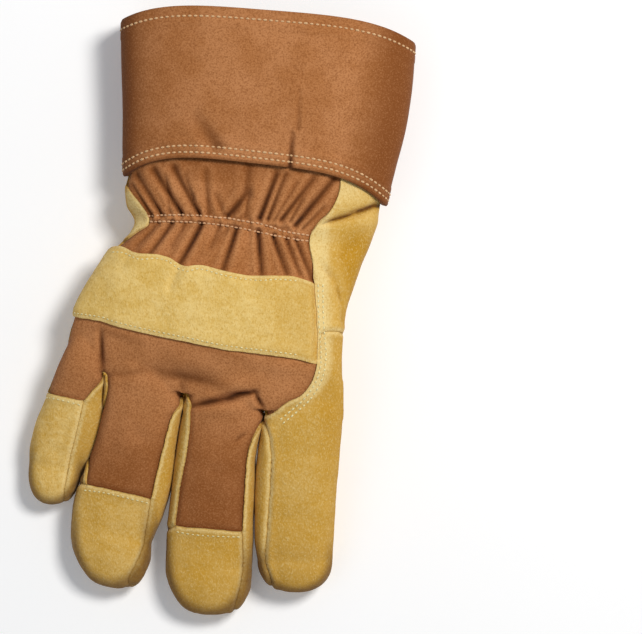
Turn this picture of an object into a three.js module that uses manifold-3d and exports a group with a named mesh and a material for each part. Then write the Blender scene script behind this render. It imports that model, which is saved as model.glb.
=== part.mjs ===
// A leather-palm work glove for the right hand. It lies palm down, with its thumb folded under the palm.
// X runs across the hand to the index finger, Y from the fingertips to the cuff, Z up, in millimetres.
// The origin is the middle of the glove's footprint, on the surface that it lies on.
// The hand and its fingers are lofted as one hollow shell, and the seams cut that shell into its panels.

import * as THREE from "three";
import Module from "manifold-3d";

const wasm = await Module();
wasm.setup();

const WALL = 2;
const STRAP_WALL = 1.7;
const SEAM_GAP = 0.3;
const ABOVE_ALL = 70;
const BELOW_ALL = -5;
const SQUARENESS = 2.4;
const EDGE_CROWDING = 0.35;
const BOW_SQUARENESS = 4;
const TIP_STEPS = 3;
const TIP_TURN = 0.46 * Math.PI;
const FINGER_MARGIN = 0.5;
const MOUTH_EXTENSION = 6;

const CANVAS = { color: 0xac7046, roughness: 0.92, metalness: 0 };
const LEATHER = { color: 0xd3ac58, roughness: 0.85, metalness: 0 };

// Turns a short table into rows with named columns.
function table(columns, rows) {
  const names = columns.split(" ");
  return rows.map((values) => Object.fromEntries(names.map((name, k) => [name, values[k]])));
}

const SECTION = "leftX leftY rightX rightY top bottom drop bow";

// The hand, from under the cuff to the finger crotches. Its little-finger side hangs lower by the drop.
const HAND = table(SECTION, [
  [-41.5, 86, 73, 71, 38, 3, 0, 0],
  [-41.5, 73, 73, 58.5, 38, 3, 0, 0],
  [-41.5, 61, 71.5, 47.5, 38, 3, 0, 0],
  [-41.5, 49, 70.5, 39.5, 37, 3, 0, 0],
  [-37.5, 40.5, 67, 30, 35.5, 3.5, 0, 0],
  [-45, 31, 63, 20.5, 38.5, 5, 1, 0],
  [-50, 27, 59, 9.5, 40, 8, 2, 0],
  [-58.5, 14.5, 56, -2.5, 41, 12.5, 4, 0],
  [-66.5, -2, 54, -25.5, 40.5, 16.5, 6, 0],
  [-71, -14, 55, -33, 38.5, 17, 7, 0],
  [-73.5, -18, 55, -43, 36.5, 16, 7, -2],
  [-74, -21, 54.5, -48.5, 33.5, 18, 4, -3.5],
]);
const ROWS_TO_STRAP = 8;

// The fingers, from inside the hand to the last full section before the tip.
const FINGERS = {
  little: {
    tip: [-77.5, -86.5],
    sections: table(SECTION, [
      [-69, -12, -49, -18, 30, 12, 0, 0],
      [-73.5, -22.5, -52.5, -28.5, 30, 9.5, 0, 0],
      [-78.5, -36, -54.5, -41, 27, 7, 0, 0],
      [-83.5, -47.5, -58.5, -53.5, 24.5, 4.5, 0, 0],
      [-87, -59, -61.5, -64, 21.5, 2, 0, 0],
      [-87.5, -68, -64, -72.5, 19, -0.5, 0, 0],
    ]),
  },
  ring: {
    tip: [-49, -124.5],
    sections: table(SECTION, [
      [-51, -18, -18, -28, 33, 15, 0, 0],
      [-52.5, -28.5, -17.5, -40.5, 33.5, 13, 0, 0],
      [-54.5, -48.5, -21, -54, 31, 10, 0, 0],
      [-60, -67.5, -24, -76, 27, 6, 0, 0],
      [-66, -84.5, -29, -92.5, 24, 3, 0, 0],
      [-67.5, -98.5, -32, -105.5, 21.5, -0.5, 0, 0],
    ]),
  },
  middle: {
    tip: [-4.5, -137.5],
    sections: table(SECTION, [
      [-16, -30, 18, -38, 34.5, 16, 0, 0],
      [-16.5, -41, 18, -46.5, 34.5, 14, 0, 0],
      [-19.5, -60, 14.5, -63, 31.5, 11, 0, 0],
      [-21.5, -80, 13, -81.5, 28, 7, 0, 0],
      [-23, -99, 12, -100, 24.5, 3.5, 0, 0],
      [-23, -116, 11.5, -116, 21.5, -0.5, 0, 0],
    ]),
  },
  index: {
    tip: [33.5, -127],
    sections: table(SECTION, [
      [19.5, -36, 55, -36, 34, 16.5, 0, 0],
      [20, -47, 54.5, -45.5, 34, 14, 0, 0],
      [16.5, -65, 53, -64, 31.5, 11, 0, 0],
      [15.5, -84.5, 51.5, -84.5, 28, 7.5, 0, 0],
      [16, -102.5, 50.5, -102.5, 24.5, 3.5, 0, 0],
      [17.5, -112.5, 50, -112.5, 22, -0.5, 0, 0],
    ]),
  },
};

// The thumb stall, from inside the heel of the hand to its tip under the little-finger side of the palm.
const THUMB = {
  tip: [-11.5, -50],
  sections: table(SECTION, [
    [30, 50, 62, 44, 14, 7, 0, 0],
    [18, 40, 60, 31, 13, 3, 0, 0],
    [9, 28.5, 55, 13.5, 13.5, 0.5, 0, 0],
    [0, 18, 49, -5, 13.5, -0.5, 0, 0],
    [-8.5, 7.5, 36, -18, 12.5, -1, 0, 0],
    [-16.5, -2.5, 22, -29.5, 12.5, -1, 0, 0],
    [-24, -13.5, 11.5, -40, 12, -1, 0, 0],
  ]),
};

// The cuff, from its mouth to the edge that laps over the hand. Its edges arch up by the bow.
const CUFF = table(SECTION, [
  [-45.5, 132, 87.5, 121.5, 44, -1, 0, 8.5],
  [-45.5, 113.5, 86.5, 104.5, 44, -1, 0, 9],
  [-45, 91, 83.5, 84.5, 43.5, -1, 0, 10],
  [-45, 73, 79, 66.5, 42.5, -1, 0, 11],
  [-44.5, 61.5, 74.5, 48, 42, -1, 0, 12],
]);

// Gathers of the back, drawn in by the elastic, and the tuck and pucker of the cuff.
const CREASE = "fromX fromY toX toY depth width";
const GATHERS = table(CREASE, [
  [-37, 58, -31.5, 44, 1.2, 2.2],
  [-33, 59, -21, 45, 1.4, 2.4],
  [-22.5, 59.5, -14, 44, 1.2, 2.4],
  [-12.5, 57, -7, 45, 1.2, 2.4],
  [-1.5, 58.5, 4.5, 43, 2, 2.6],
  [12, 57.5, 10.5, 45, 0.9, 2.4],
  [24.5, 58.5, 17, 41.5, 2, 2.8],
  [35, 52, 27, 42.5, 1.2, 2.4],
  [48.5, 58.5, 32, 38, 2, 2.8],
  [-24, 39.5, -34, 27, 1.4, 2.4],
  [-9, 39, -18.5, 23, 2, 2.8],
  [6.5, 36.5, 0, 19, 2, 2.8],
  [17, 35, 18, 17.5, 1.8, 2.6],
  [25, 31.5, 31.5, 17.5, 1.8, 2.6],
  [35, 30, 41, 14.5, 1.2, 2.4],
]);
const CUFF_TUCKS = table(CREASE, [
  [31, 78, 30, 62, 2, 3],
  [-7, 88, -4, 74, 1, 4],
]);
const NO_CREASES = [];

// Plan outlines of the panels, a row for each line across, with the height of the seam below it.
const PANEL = "leftX leftY rightX rightY low";
const BACK_UPPER = table(PANEL, [
  [-45, 90, 54, 76, 20.5],
  [-44, 60.5, 53.5, 58.5, 20.5],
  [-36, 48.5, 50.5, 48, 20],
  [-32.5, 40.5, 40.5, 36, 19.5],
  [-38.5, 36, 39.5, 30.5, 20],
  [-53, 25.5, 41, 22.5, 21],
  [-62, 17, 42.5, 4, 21.5],
]);
const BACK_LOWER = table(PANEL, [
  [-62, 17, 42.5, 4, 22.5],
  [-71, -2, 43, -23, 23.5],
  [-76, -12.5, 37, -36.5, 23],
  [-76.5, -17, 30, -40, 25],
  [-77, -21.5, 18.5, -49, 29.5],
]);
const STRAP = table(PANEL, [
  [-53, 31.5, 42.5, 13, 22],
  [-63, 13.5, 43, 0, 22],
  [-73, -3.5, 43, -24, 21],
]);
const FINGER_BACKS = {
  little: table(PANEL, [
    [-75.5, -17, -53, -22.5, 19],
    [-77, -24, -54, -29, 18.5],
    [-83, -35.5, -62, -40, 17],
  ]),
  ring: table(PANEL, [
    [-53, -22.5, -17, -34, 21],
    [-50.5, -32, -19, -41, 21],
    [-53, -45, -23, -47, 20],
    [-58, -60.5, -27, -63, 17],
    [-61, -77.5, -32, -84, 14],
  ]),
  middle: table(PANEL, [
    [-17, -34, 24.5, -45, 23],
    [-13.5, -41.5, 18.5, -47.5, 23],
    [-15, -60.5, 12, -60.5, 21],
    [-18.5, -80, 10, -80, 17.5],
    [-20.5, -96.5, 9, -99, 14],
  ]),
};
const FINGER_TIPS = {
  little: table(PANEL, [
    [-83, -35.5, -62, -40, 17],
    [-91, -53, -66, -55.5, 12],
    [-92, -69, -69.5, -70, 9],
    [-92, -76, -62.5, -78, 8],
    [-92, -90, -62.5, -90, 5],
  ]),
  ring: table(PANEL, [
    [-63, -77.5, -32, -84, 14],
    [-64.5, -93.5, -33.5, -98, 11],
    [-70, -104, -31, -105.5, 8],
    [-72, -112, -31, -114, 7],
    [-72, -131, -31, -133, 5],
  ]),
  middle: table(PANEL, [
    [-20.5, -96.5, 9, -99, 14],
    [-21.5, -111.5, 9, -113.5, 11],
    [-25, -119, 13.5, -120, 8],
    [-25, -140, 13.5, -140, 5],
  ]),
};
const INDEX_BACK = table(PANEL, [
  [45, -8.5, 60, -9, 27],
  [43, -23, 60, -23.5, 27.5],
  [35.5, -36.5, 60, -37, 26],
  [17.5, -48.5, 60, -46, 24],
]);
const INDEX_FINGER_BACK = table(PANEL, [
  [19.5, -46, 60, -44, 24],
  [22.5, -60.5, 58.5, -60.5, 22],
  [21.5, -85, 57, -85, 17.5],
  [20, -109, 56, -109, 12.5],
  [22, -119, 56, -119, 9],
  [24.5, -130.5, 56, -130.5, 6],
]);
const FRONTS = {
  ring: {
    palm: table(PANEL, [
      [-42, -9, -25, -13, 24],
      [-51, -18, -17, -27, 24],
      [-53, -30, -16.5, -42, 24],
    ]),
  },
  middle: {
    palm: table(PANEL, [
      [-10.5, -20.5, 8.5, -23, 24],
      [-16.5, -28.5, 18, -35, 24],
      [-16.5, -42, 18.5, -48, 24],
    ]),
  },
};

// Each strip between two fingers runs from the right side of one, round the crotch, to the left side of the next.
const FOURCHETTES = [
  { from: "little", to: "ring", crotch: [-53, -27.5], webTop: 27.5, insideFrom: 9, insideTo: 6 },
  { from: "ring", to: "middle", crotch: [-17, -39], webTop: 29.3, insideFrom: 9, insideTo: 8 },
  { from: "middle", to: "index", crotch: [19, -45], webTop: 29.3, insideFrom: 7, insideTo: 8 },
];
const STRIP_ABOVE_FLOOR = 4.5;
const CROTCH_REACH = 5;

const HAND_STATIONS = { over: 12, under: 8 };
const GATHERED_STATIONS = { over: 28, under: 4 };
const FINGER_STATIONS = { over: 7, under: 4 };
const CUFF_STATIONS = { over: 18, under: 8 };
const THUMB_STATIONS = { over: 8, under: 8 };

// Value at a fraction of the way between the second and third of four samples, on a smooth curve.
function catmullRom(a, b, c, d, t) {
  const slopeB = (c - a) / 2;
  const slopeC = (d - b) / 2;
  const t2 = t * t;
  const t3 = t2 * t;
  return (2 * t3 - 3 * t2 + 1) * b + (t3 - 2 * t2 + t) * slopeB + (3 * t2 - 2 * t3) * c + (t3 - t2) * slopeC;
}

// Adds smooth rows between the rows of a table.
function smoothRows(rows, steps) {
  const at = (k) => rows[Math.min(Math.max(k, 0), rows.length - 1)];
  const names = Object.keys(rows[0]);
  const result = [];
  for (let k = 0; k < rows.length - 1; k += 1) {
    for (let s = 0; s < steps; s += 1) {
      const value = (name) =>
        catmullRom(at(k - 1)[name], at(k)[name], at(k + 1)[name], at(k + 2)[name], s / steps);
      result.push(Object.fromEntries(names.map((name) => [name, value(name)])));
    }
  }
  result.push(rows[rows.length - 1]);
  return result;
}

// How far the cloth is drawn down at a plan position by the creases near it.
function creaseDepth(creases, x, y) {
  let depth = 0;
  for (const crease of creases) {
    const along = new THREE.Vector2(crease.toX - crease.fromX, crease.toY - crease.fromY);
    const away = new THREE.Vector2(x - crease.fromX, y - crease.fromY);
    const share = THREE.MathUtils.clamp(away.dot(along) / along.lengthSq(), 0, 1);
    const distance = away.addScaledVector(along, -share).length();
    depth += crease.depth * Math.exp(-((distance / crease.width) ** 2));
  }
  return depth;
}

// The points round one section, over the top from left to right and back underneath.
function sectionRing(row, grow, stations, creases) {
  const across = new THREE.Vector2(row.rightX - row.leftX, row.rightY - row.leftY).normalize();
  const left = new THREE.Vector2(row.leftX, row.leftY).addScaledVector(across, -grow);
  const right = new THREE.Vector2(row.rightX, row.rightY).addScaledVector(across, grow);
  const middle = (row.top + row.bottom) / 2;
  const half = (row.top - row.bottom) / 2 + grow;
  const point = (t, side) => {
    const share = (1 - EDGE_CROWDING) * t + EDGE_CROWDING * (0.5 - 0.5 * Math.cos(Math.PI * t));
    const offCentre = Math.min(Math.abs(2 * share - 1), 1);
    const height = (1 - offCentre ** SQUARENESS) ** (1 / SQUARENESS);
    const plan = left.clone().lerp(right, share);
    plan.y += row.bow * (1 - offCentre ** BOW_SQUARENESS);
    const sag = row.drop * (1 - share) ** 2;
    const drawn = side > 0 ? height * creaseDepth(creases, plan.x, plan.y) : 0;
    const z = middle + side * half * height - sag - drawn;
    return new THREE.Vector3(plan.x, plan.y, Math.max(z, -grow));
  };
  const ring = [];
  for (let k = 0; k < stations.over; k += 1) ring.push(point(k / stations.over, 1));
  for (let k = 0; k < stations.under; k += 1) ring.push(point(1 - k / stations.under, -1));
  return ring;
}

// A closed solid through rings of equal count, with both ends closed to their middle.
function solidThrough(rings) {
  const count = rings[0].length;
  const middleOf = (ring) => ring.reduce((sum, p) => sum.add(p), new THREE.Vector3()).divideScalar(count);
  const points = [...rings.flat(), middleOf(rings[0]), middleOf(rings[rings.length - 1])];
  const firstMiddle = points.length - 2;
  const lastMiddle = points.length - 1;
  const lastRing = (rings.length - 1) * count;
  const faces = [];
  for (let k = 0; k < count; k += 1) {
    const next = (k + 1) % count;
    faces.push([firstMiddle, next, k], [lastMiddle, lastRing + k, lastRing + next]);
    for (let r = 0; r < rings.length - 1; r += 1) {
      const a = r * count;
      const b = a + count;
      faces.push([a + k, a + next, b + next], [a + k, b + next, b + k]);
    }
  }
  const volume = faces.reduce((sum, [a, b, c]) => {
    const normal = new THREE.Vector3().crossVectors(points[b], points[c]);
    return sum + points[a].dot(normal);
  }, 0);
  const outward = volume > 0 ? faces : faces.map(([a, b, c]) => [a, c, b]);
  const vertProperties = new Float32Array(points.flatMap((p) => [p.x, p.y, p.z]));
  const triVerts = new Uint32Array(outward.flat());
  return new wasm.Manifold(new wasm.Mesh({ numProp: 3, vertProperties, triVerts }));
}

// Rows that close a finger to its rounded tip, after its last full section.
function tipRows(last, tip) {
  const centre = new THREE.Vector2((last.leftX + last.rightX) / 2, (last.leftY + last.rightY) / 2);
  const toTip = new THREE.Vector2(tip[0], tip[1]).sub(centre);
  const half = new THREE.Vector2(last.rightX - last.leftX, last.rightY - last.leftY).multiplyScalar(0.5);
  const middle = (last.top + last.bottom) / 2;
  const rows = [];
  for (let k = 1; k <= TIP_STEPS; k += 1) {
    const turn = (TIP_TURN * k) / TIP_STEPS;
    const width = Math.cos(turn);
    const at = centre.clone().addScaledVector(toTip, Math.sin(turn));
    const height = ((last.top - last.bottom) / 2) * width;
    rows.push({
      leftX: at.x - half.x * width,
      leftY: at.y - half.y * width,
      rightX: at.x + half.x * width,
      rightY: at.y + half.y * width,
      top: middle + height,
      bottom: middle - height,
      drop: 0,
      bow: 0,
    });
  }
  return rows;
}

// A finger or the thumb as a solid, grown or, for its hollow, shrunk all round.
function digit(shape, grow, stations) {
  const rows = shape.sections;
  const last = rows[rows.length - 1];
  const centre = new THREE.Vector2((last.leftX + last.rightX) / 2, (last.leftY + last.rightY) / 2);
  const tip = new THREE.Vector2(shape.tip[0], shape.tip[1]);
  tip.addScaledVector(tip.clone().sub(centre).normalize(), grow);
  const rings = rows.map((row) => sectionRing(row, grow, stations, NO_CREASES));
  for (const row of tipRows(last, [tip.x, tip.y])) {
    rings.push(sectionRing(row, grow * 0.5, stations, NO_CREASES));
  }
  return solidThrough(rings);
}

// The same rows with their first one moved out through the mouth, so that a hollow is open there.
function openAtMouth(rows) {
  const first = { ...rows[0], leftY: rows[0].leftY + MOUTH_EXTENSION, rightY: rows[0].rightY + MOUTH_EXTENSION };
  return [first, ...rows];
}

// The same rows with their last one moved back, so that a hollow stops a wall before the end.
function closedAtEnd(rows) {
  const last = rows[rows.length - 1];
  const shorter = { ...last, leftY: last.leftY + WALL, rightY: last.rightY + WALL };
  return [...rows.slice(0, -1), shorter];
}

function loft(rows, grow, stations, creases) {
  return solidThrough(rows.map((row) => sectionRing(row, grow, stations, creases)));
}

// A block that stands over a plan outline, from the seam height of each row up to a level.
function block(rows, grow, level) {
  const rings = rows.map((row, k) => {
    const across = new THREE.Vector2(row.rightX - row.leftX, row.rightY - row.leftY).normalize();
    const end = k === 0 ? 1 : k === rows.length - 1 ? -1 : 0;
    const outward = new THREE.Vector2(-across.y, across.x).multiplyScalar(end * grow);
    const left = new THREE.Vector2(row.leftX, row.leftY).addScaledVector(across, -grow).add(outward);
    const right = new THREE.Vector2(row.rightX, row.rightY).addScaledVector(across, grow).add(outward);
    const far = level > row.low ? level + grow : level - grow;
    const near = level > row.low ? row.low - grow : row.low + grow;
    return [
      new THREE.Vector3(left.x, left.y, near),
      new THREE.Vector3(right.x, right.y, near),
      new THREE.Vector3(right.x, right.y, far),
      new THREE.Vector3(left.x, left.y, far),
    ];
  });
  return solidThrough(rings);
}

// A cutter that reaches only one finger.
function onFinger(name, cutter) {
  return cutter.intersect(digit(FINGERS[name], FINGER_MARGIN, FINGER_STATIONS));
}

// Half of a strip between two fingers: the side of one of them, from below its middle up.
function stripSide(name, side, inside, grow) {
  const rows = FINGERS[name].sections.slice(1).map((row) => {
    const edge = side > 0 ? [row.rightX, row.rightY] : [row.leftX, row.leftY];
    const low = Math.max(row.bottom, 0) + STRIP_ABOVE_FLOOR;
    const outer = edge[0] + side * 2;
    const inner = edge[0] - side * inside;
    return {
      leftX: Math.min(outer, inner),
      leftY: edge[1],
      rightX: Math.max(outer, inner),
      rightY: edge[1],
      low,
    };
  });
  return onFinger(name, block(rows, grow, ABOVE_ALL));
}

function backLowerCutter(grow) {
  let cutter = block(BACK_LOWER, grow, ABOVE_ALL);
  for (const [name, rows] of Object.entries(FINGER_BACKS)) {
    cutter = cutter.add(onFinger(name, block(rows, grow, ABOVE_ALL)));
  }
  return cutter;
}

function indexBackCutter(grow) {
  const finger = onFinger("index", block(INDEX_FINGER_BACK, grow, ABOVE_ALL));
  return block(INDEX_BACK, grow, ABOVE_ALL).add(finger);
}

function tipCutter(name, grow) {
  return onFinger(name, block(FINGER_TIPS[name], grow, ABOVE_ALL));
}

// A strip's two sides stop at the seams of the backs above them, and meet under the crotch.
function fourchetteCutter(strip, grow) {
  const [x, y] = strip.crotch;
  const low = FINGERS[strip.to].sections[1].bottom + STRIP_ABOVE_FLOOR;
  const web = table(PANEL, [
    [x - CROTCH_REACH, y + CROTCH_REACH, x + CROTCH_REACH, y + CROTCH_REACH, low],
    [x - CROTCH_REACH, y - CROTCH_REACH, x + CROTCH_REACH, y - CROTCH_REACH, low],
  ]);
  let sides = stripSide(strip.from, 1, strip.insideFrom, grow).add(stripSide(strip.to, -1, strip.insideTo, grow));
  sides = sides.subtract(backLowerCutter(SEAM_GAP - grow)).subtract(indexBackCutter(SEAM_GAP - grow));
  for (const name of Object.keys(FINGER_TIPS)) sides = sides.subtract(tipCutter(name, SEAM_GAP - grow));
  return block(web, grow, strip.webTop).add(sides);
}

function frontCutter(name, grow) {
  const rows = FINGERS[name].sections.slice(1).map((row) => ({
    leftX: row.leftX - 3,
    leftY: row.leftY,
    rightX: row.rightX + 3,
    rightY: row.rightY,
    low: (row.top + row.bottom) / 2,
  }));
  const [tipX, tipY] = FINGERS[name].tip;
  const last = rows[rows.length - 1];
  const half = (last.rightX - last.leftX) / 2;
  rows.push({ leftX: tipX - half, leftY: tipY - 5, rightX: tipX + half, rightY: tipY - 5, low: last.low });
  return onFinger(name, block(rows, grow, BELOW_ALL)).add(block(FRONTS[name].palm, grow, BELOW_ALL));
}

// The largest body of a cut, without the crumbs that a slanting seam leaves.
function mainBody(solid) {
  const bodies = solid.decompose();
  return bodies.reduce((best, body) => (body.volume() > best.volume() ? body : best));
}

function meshOf(name, solid, finish) {
  const { numProp, vertProperties, triVerts } = mainBody(solid).getMesh();
  const positions = new Float32Array((vertProperties.length / numProp) * 3);
  for (let k = 0; k < positions.length / 3; k += 1) {
    positions.set(vertProperties.subarray(k * numProp, k * numProp + 3), k * 3);
  }
  const geometry = new THREE.BufferGeometry();
  geometry.setAttribute("position", new THREE.BufferAttribute(positions, 3));
  geometry.setIndex(new THREE.BufferAttribute(new Uint32Array(triVerts), 1));
  geometry.computeVertexNormals();
  const mesh = new THREE.Mesh(geometry, new THREE.MeshStandardMaterial(finish));
  mesh.name = name;
  return mesh;
}

function handSolid(grow) {
  const body = grow < 0 ? closedAtEnd(openAtMouth(HAND)) : HAND;
  let solid = loft(body, grow, HAND_STATIONS, NO_CREASES);
  for (const shape of Object.values(FINGERS)) {
    solid = solid.add(digit(shape, grow, FINGER_STATIONS));
  }
  return solid;
}

// The hand down to the strap in finer steps, with its gathers.
function gatheredHand(grow) {
  const rows = smoothRows(HAND.slice(1, ROWS_TO_STRAP), 2);
  return loft(grow < 0 ? openAtMouth(rows) : rows, grow, GATHERED_STATIONS, GATHERS);
}

function gatheredBack() {
  return gatheredHand(0).subtract(gatheredHand(-WALL)).intersect(block(BACK_UPPER, 0, ABOVE_ALL));
}

function knuckleStrap() {
  const rows = HAND.slice(0, ROWS_TO_STRAP + 2);
  const outside = loft(rows, SEAM_GAP + STRAP_WALL, HAND_STATIONS, NO_CREASES);
  const inside = loft(openAtMouth(rows), SEAM_GAP, HAND_STATIONS, NO_CREASES);
  return outside.intersect(block(STRAP, 0, ABOVE_ALL)).subtract(inside).subtract(gatheredHand(SEAM_GAP));
}

function cuffTube() {
  const last = CUFF[CUFF.length - 1];
  const past = { ...last, leftY: last.leftY - MOUTH_EXTENSION, rightY: last.rightY - MOUTH_EXTENSION };
  const outside = loft(CUFF, 0, CUFF_STATIONS, CUFF_TUCKS);
  const inside = loft([...openAtMouth(CUFF), past], -WALL, CUFF_STATIONS, CUFF_TUCKS);
  return outside.subtract(inside);
}

function thumbStall() {
  const stall = digit(THUMB, 0, THUMB_STATIONS).subtract(digit(THUMB, -WALL, THUMB_STATIONS));
  return stall.subtract(handSolid(SEAM_GAP));
}

function glove() {
  const group = new THREE.Group();
  const place = (name, solid, finish) => group.add(meshOf(name, solid, finish));
  let shell = handSolid(0).subtract(handSolid(-WALL));
  const cutOut = (name, cutter, finish) => {
    place(name, shell.intersect(cutter(0)), finish);
    shell = shell.subtract(cutter(SEAM_GAP));
  };

  place("cuff", cuffTube(), CANVAS);
  place("back_upper", gatheredBack(), CANVAS);
  shell = shell.subtract(block(BACK_UPPER, SEAM_GAP, ABOVE_ALL));
  place("knuckle_strap", knuckleStrap(), LEATHER);
  for (const strip of FOURCHETTES) {
    cutOut(`fourchette_${strip.from}_${strip.to}`, (grow) => fourchetteCutter(strip, grow), LEATHER);
  }
  cutOut("back_lower", backLowerCutter, CANVAS);
  cutOut("index_back", indexBackCutter, LEATHER);
  for (const name of Object.keys(FINGER_TIPS)) {
    cutOut(`tip_${name}`, (grow) => tipCutter(name, grow), LEATHER);
  }
  for (const name of Object.keys(FRONTS)) {
    cutOut(`front_${name}`, (grow) => frontCutter(name, grow), LEATHER);
  }
  place("palm", shell.subtract(digit(THUMB, SEAM_GAP, THUMB_STATIONS)), LEATHER);
  place("thumb", thumbStall(), LEATHER);
  return group;
}

export default glove();
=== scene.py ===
"""A leather-palm work glove for the right hand, lying palm down with its thumb folded under it.

The hand, its fingers and the thumb are lofted from the same sections as the solids and grown together
into one skin. The seams then part that skin into the glove's own panels, and each panel gets its
thickness, its turned or lapped edges, its folds and its finish. The cuff and the knuckle strap are
pieces of their own. Lengths in the tables are millimetres; meshes are in metres.
"""

import logging
import math
from dataclasses import dataclass, field
from enum import Enum

import bpy
import numpy as np
from bpy.types import ID, Material, Mesh, Node, NodeOutputs, NodeSocket, NodeTree, Object
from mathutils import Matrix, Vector, noise
from mathutils.bvhtree import BVHTree
from mathutils.kdtree import KDTree


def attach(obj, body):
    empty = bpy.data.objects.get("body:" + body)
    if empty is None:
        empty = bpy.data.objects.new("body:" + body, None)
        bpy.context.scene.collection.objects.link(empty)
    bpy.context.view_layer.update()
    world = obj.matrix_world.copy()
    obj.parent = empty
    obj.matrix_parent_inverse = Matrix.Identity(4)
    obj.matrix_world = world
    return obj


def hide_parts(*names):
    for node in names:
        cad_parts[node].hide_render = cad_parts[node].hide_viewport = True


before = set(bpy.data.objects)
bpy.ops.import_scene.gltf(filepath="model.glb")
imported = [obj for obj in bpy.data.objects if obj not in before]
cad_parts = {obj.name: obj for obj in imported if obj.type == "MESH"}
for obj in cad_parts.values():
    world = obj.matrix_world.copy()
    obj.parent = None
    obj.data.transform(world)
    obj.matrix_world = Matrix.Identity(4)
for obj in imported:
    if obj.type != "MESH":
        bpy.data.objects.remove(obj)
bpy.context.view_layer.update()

Array = np.ndarray
Colour = tuple[int, int, int]
Pair = tuple[float, float]
Triple = tuple[float, float, float]
Point = Pair
Face = tuple[int, ...]
Settings = dict[str, object]
Inputs = dict[str | int, object]

MM = 0.001
TINY = 1e-6
# How square a section and its bow are, and how much closer its stations stand at its sides.
SQUARENESS = 2.4
BOW_SQUARENESS = 4
EDGE_CROWDING = 0.35
# A digit's round end: how far it turns, in how many rows, and how full it stays.
TIP_TURN = 0.46 * math.pi
TIP_STEPS = 12
TIP_FULLNESS = 0.85
# Rounds that straighten a border, rings of quads beside it that follow, and rounds that even them out.
BORDER_ROUNDS = 14
BORDER_RINGS = 3
BESIDE_ROUNDS = 6
# A height above every seam, the share of a wall that is left where it is pressed on the table, and the
# angle past which an edge looks sharp.
ABOVE_ALL = 60
PRESSED_WALL = 0.4
SHARP_ANGLE = math.radians(60)


class Slot(Enum):
    """Material slots of the record."""

    LEATHER = "split_leather"
    CANVAS = "canvas"
    CUFF = "cuff_canvas"


def catmull_rom(rows: Array, steps: int) -> Array:
    """Adds smooth rows between the rows of a table.

    Args:
        rows: The table, one row a line.
        steps: Rows that each interval gets.

    Returns:
        The refined table.
    """
    last = len(rows) - 1
    place = np.linspace(0, last, last * steps + 1)
    k = np.minimum(place.astype(int), last - 1)
    t = (place - k)[:, None]
    before, start = rows[np.maximum(k - 1, 0)], rows[k]
    end, after = rows[k + 1], rows[np.minimum(k + 2, last)]
    slope_start = (end - before) / 2
    slope_end = (after - start) / 2
    t2, t3 = t * t, t * t * t
    return (
        (2 * t3 - 3 * t2 + 1) * start
        + (t3 - 2 * t2 + t) * slope_start
        + (3 * t2 - 2 * t3) * end
        + (t3 - t2) * slope_end
    )


def ramp(value: Array, low: float, high: float) -> Array:
    """A smooth step from 0 at low to 1 at high."""
    t = np.clip((value - low) / (high - low), 0, 1)
    return t * t * (3 - 2 * t)


def bell(value: Array, width: float) -> Array:
    """A smooth hump of height 1 at zero."""
    return np.exp(-((value / width) ** 2))


def line_y(line: tuple[Point, ...], x: Array) -> Array:
    """The y of a plan line at each x; the line runs from left to right."""
    corners = np.array(line)
    return np.interp(x, corners[:, 0], corners[:, 1])


def above_floor(points: Array, low: Array | float = 0.0) -> Array:
    """The points, with none lower than a height above the floor."""
    return np.column_stack([points[:, :2], np.maximum(points[:, 2], low)])


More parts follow.
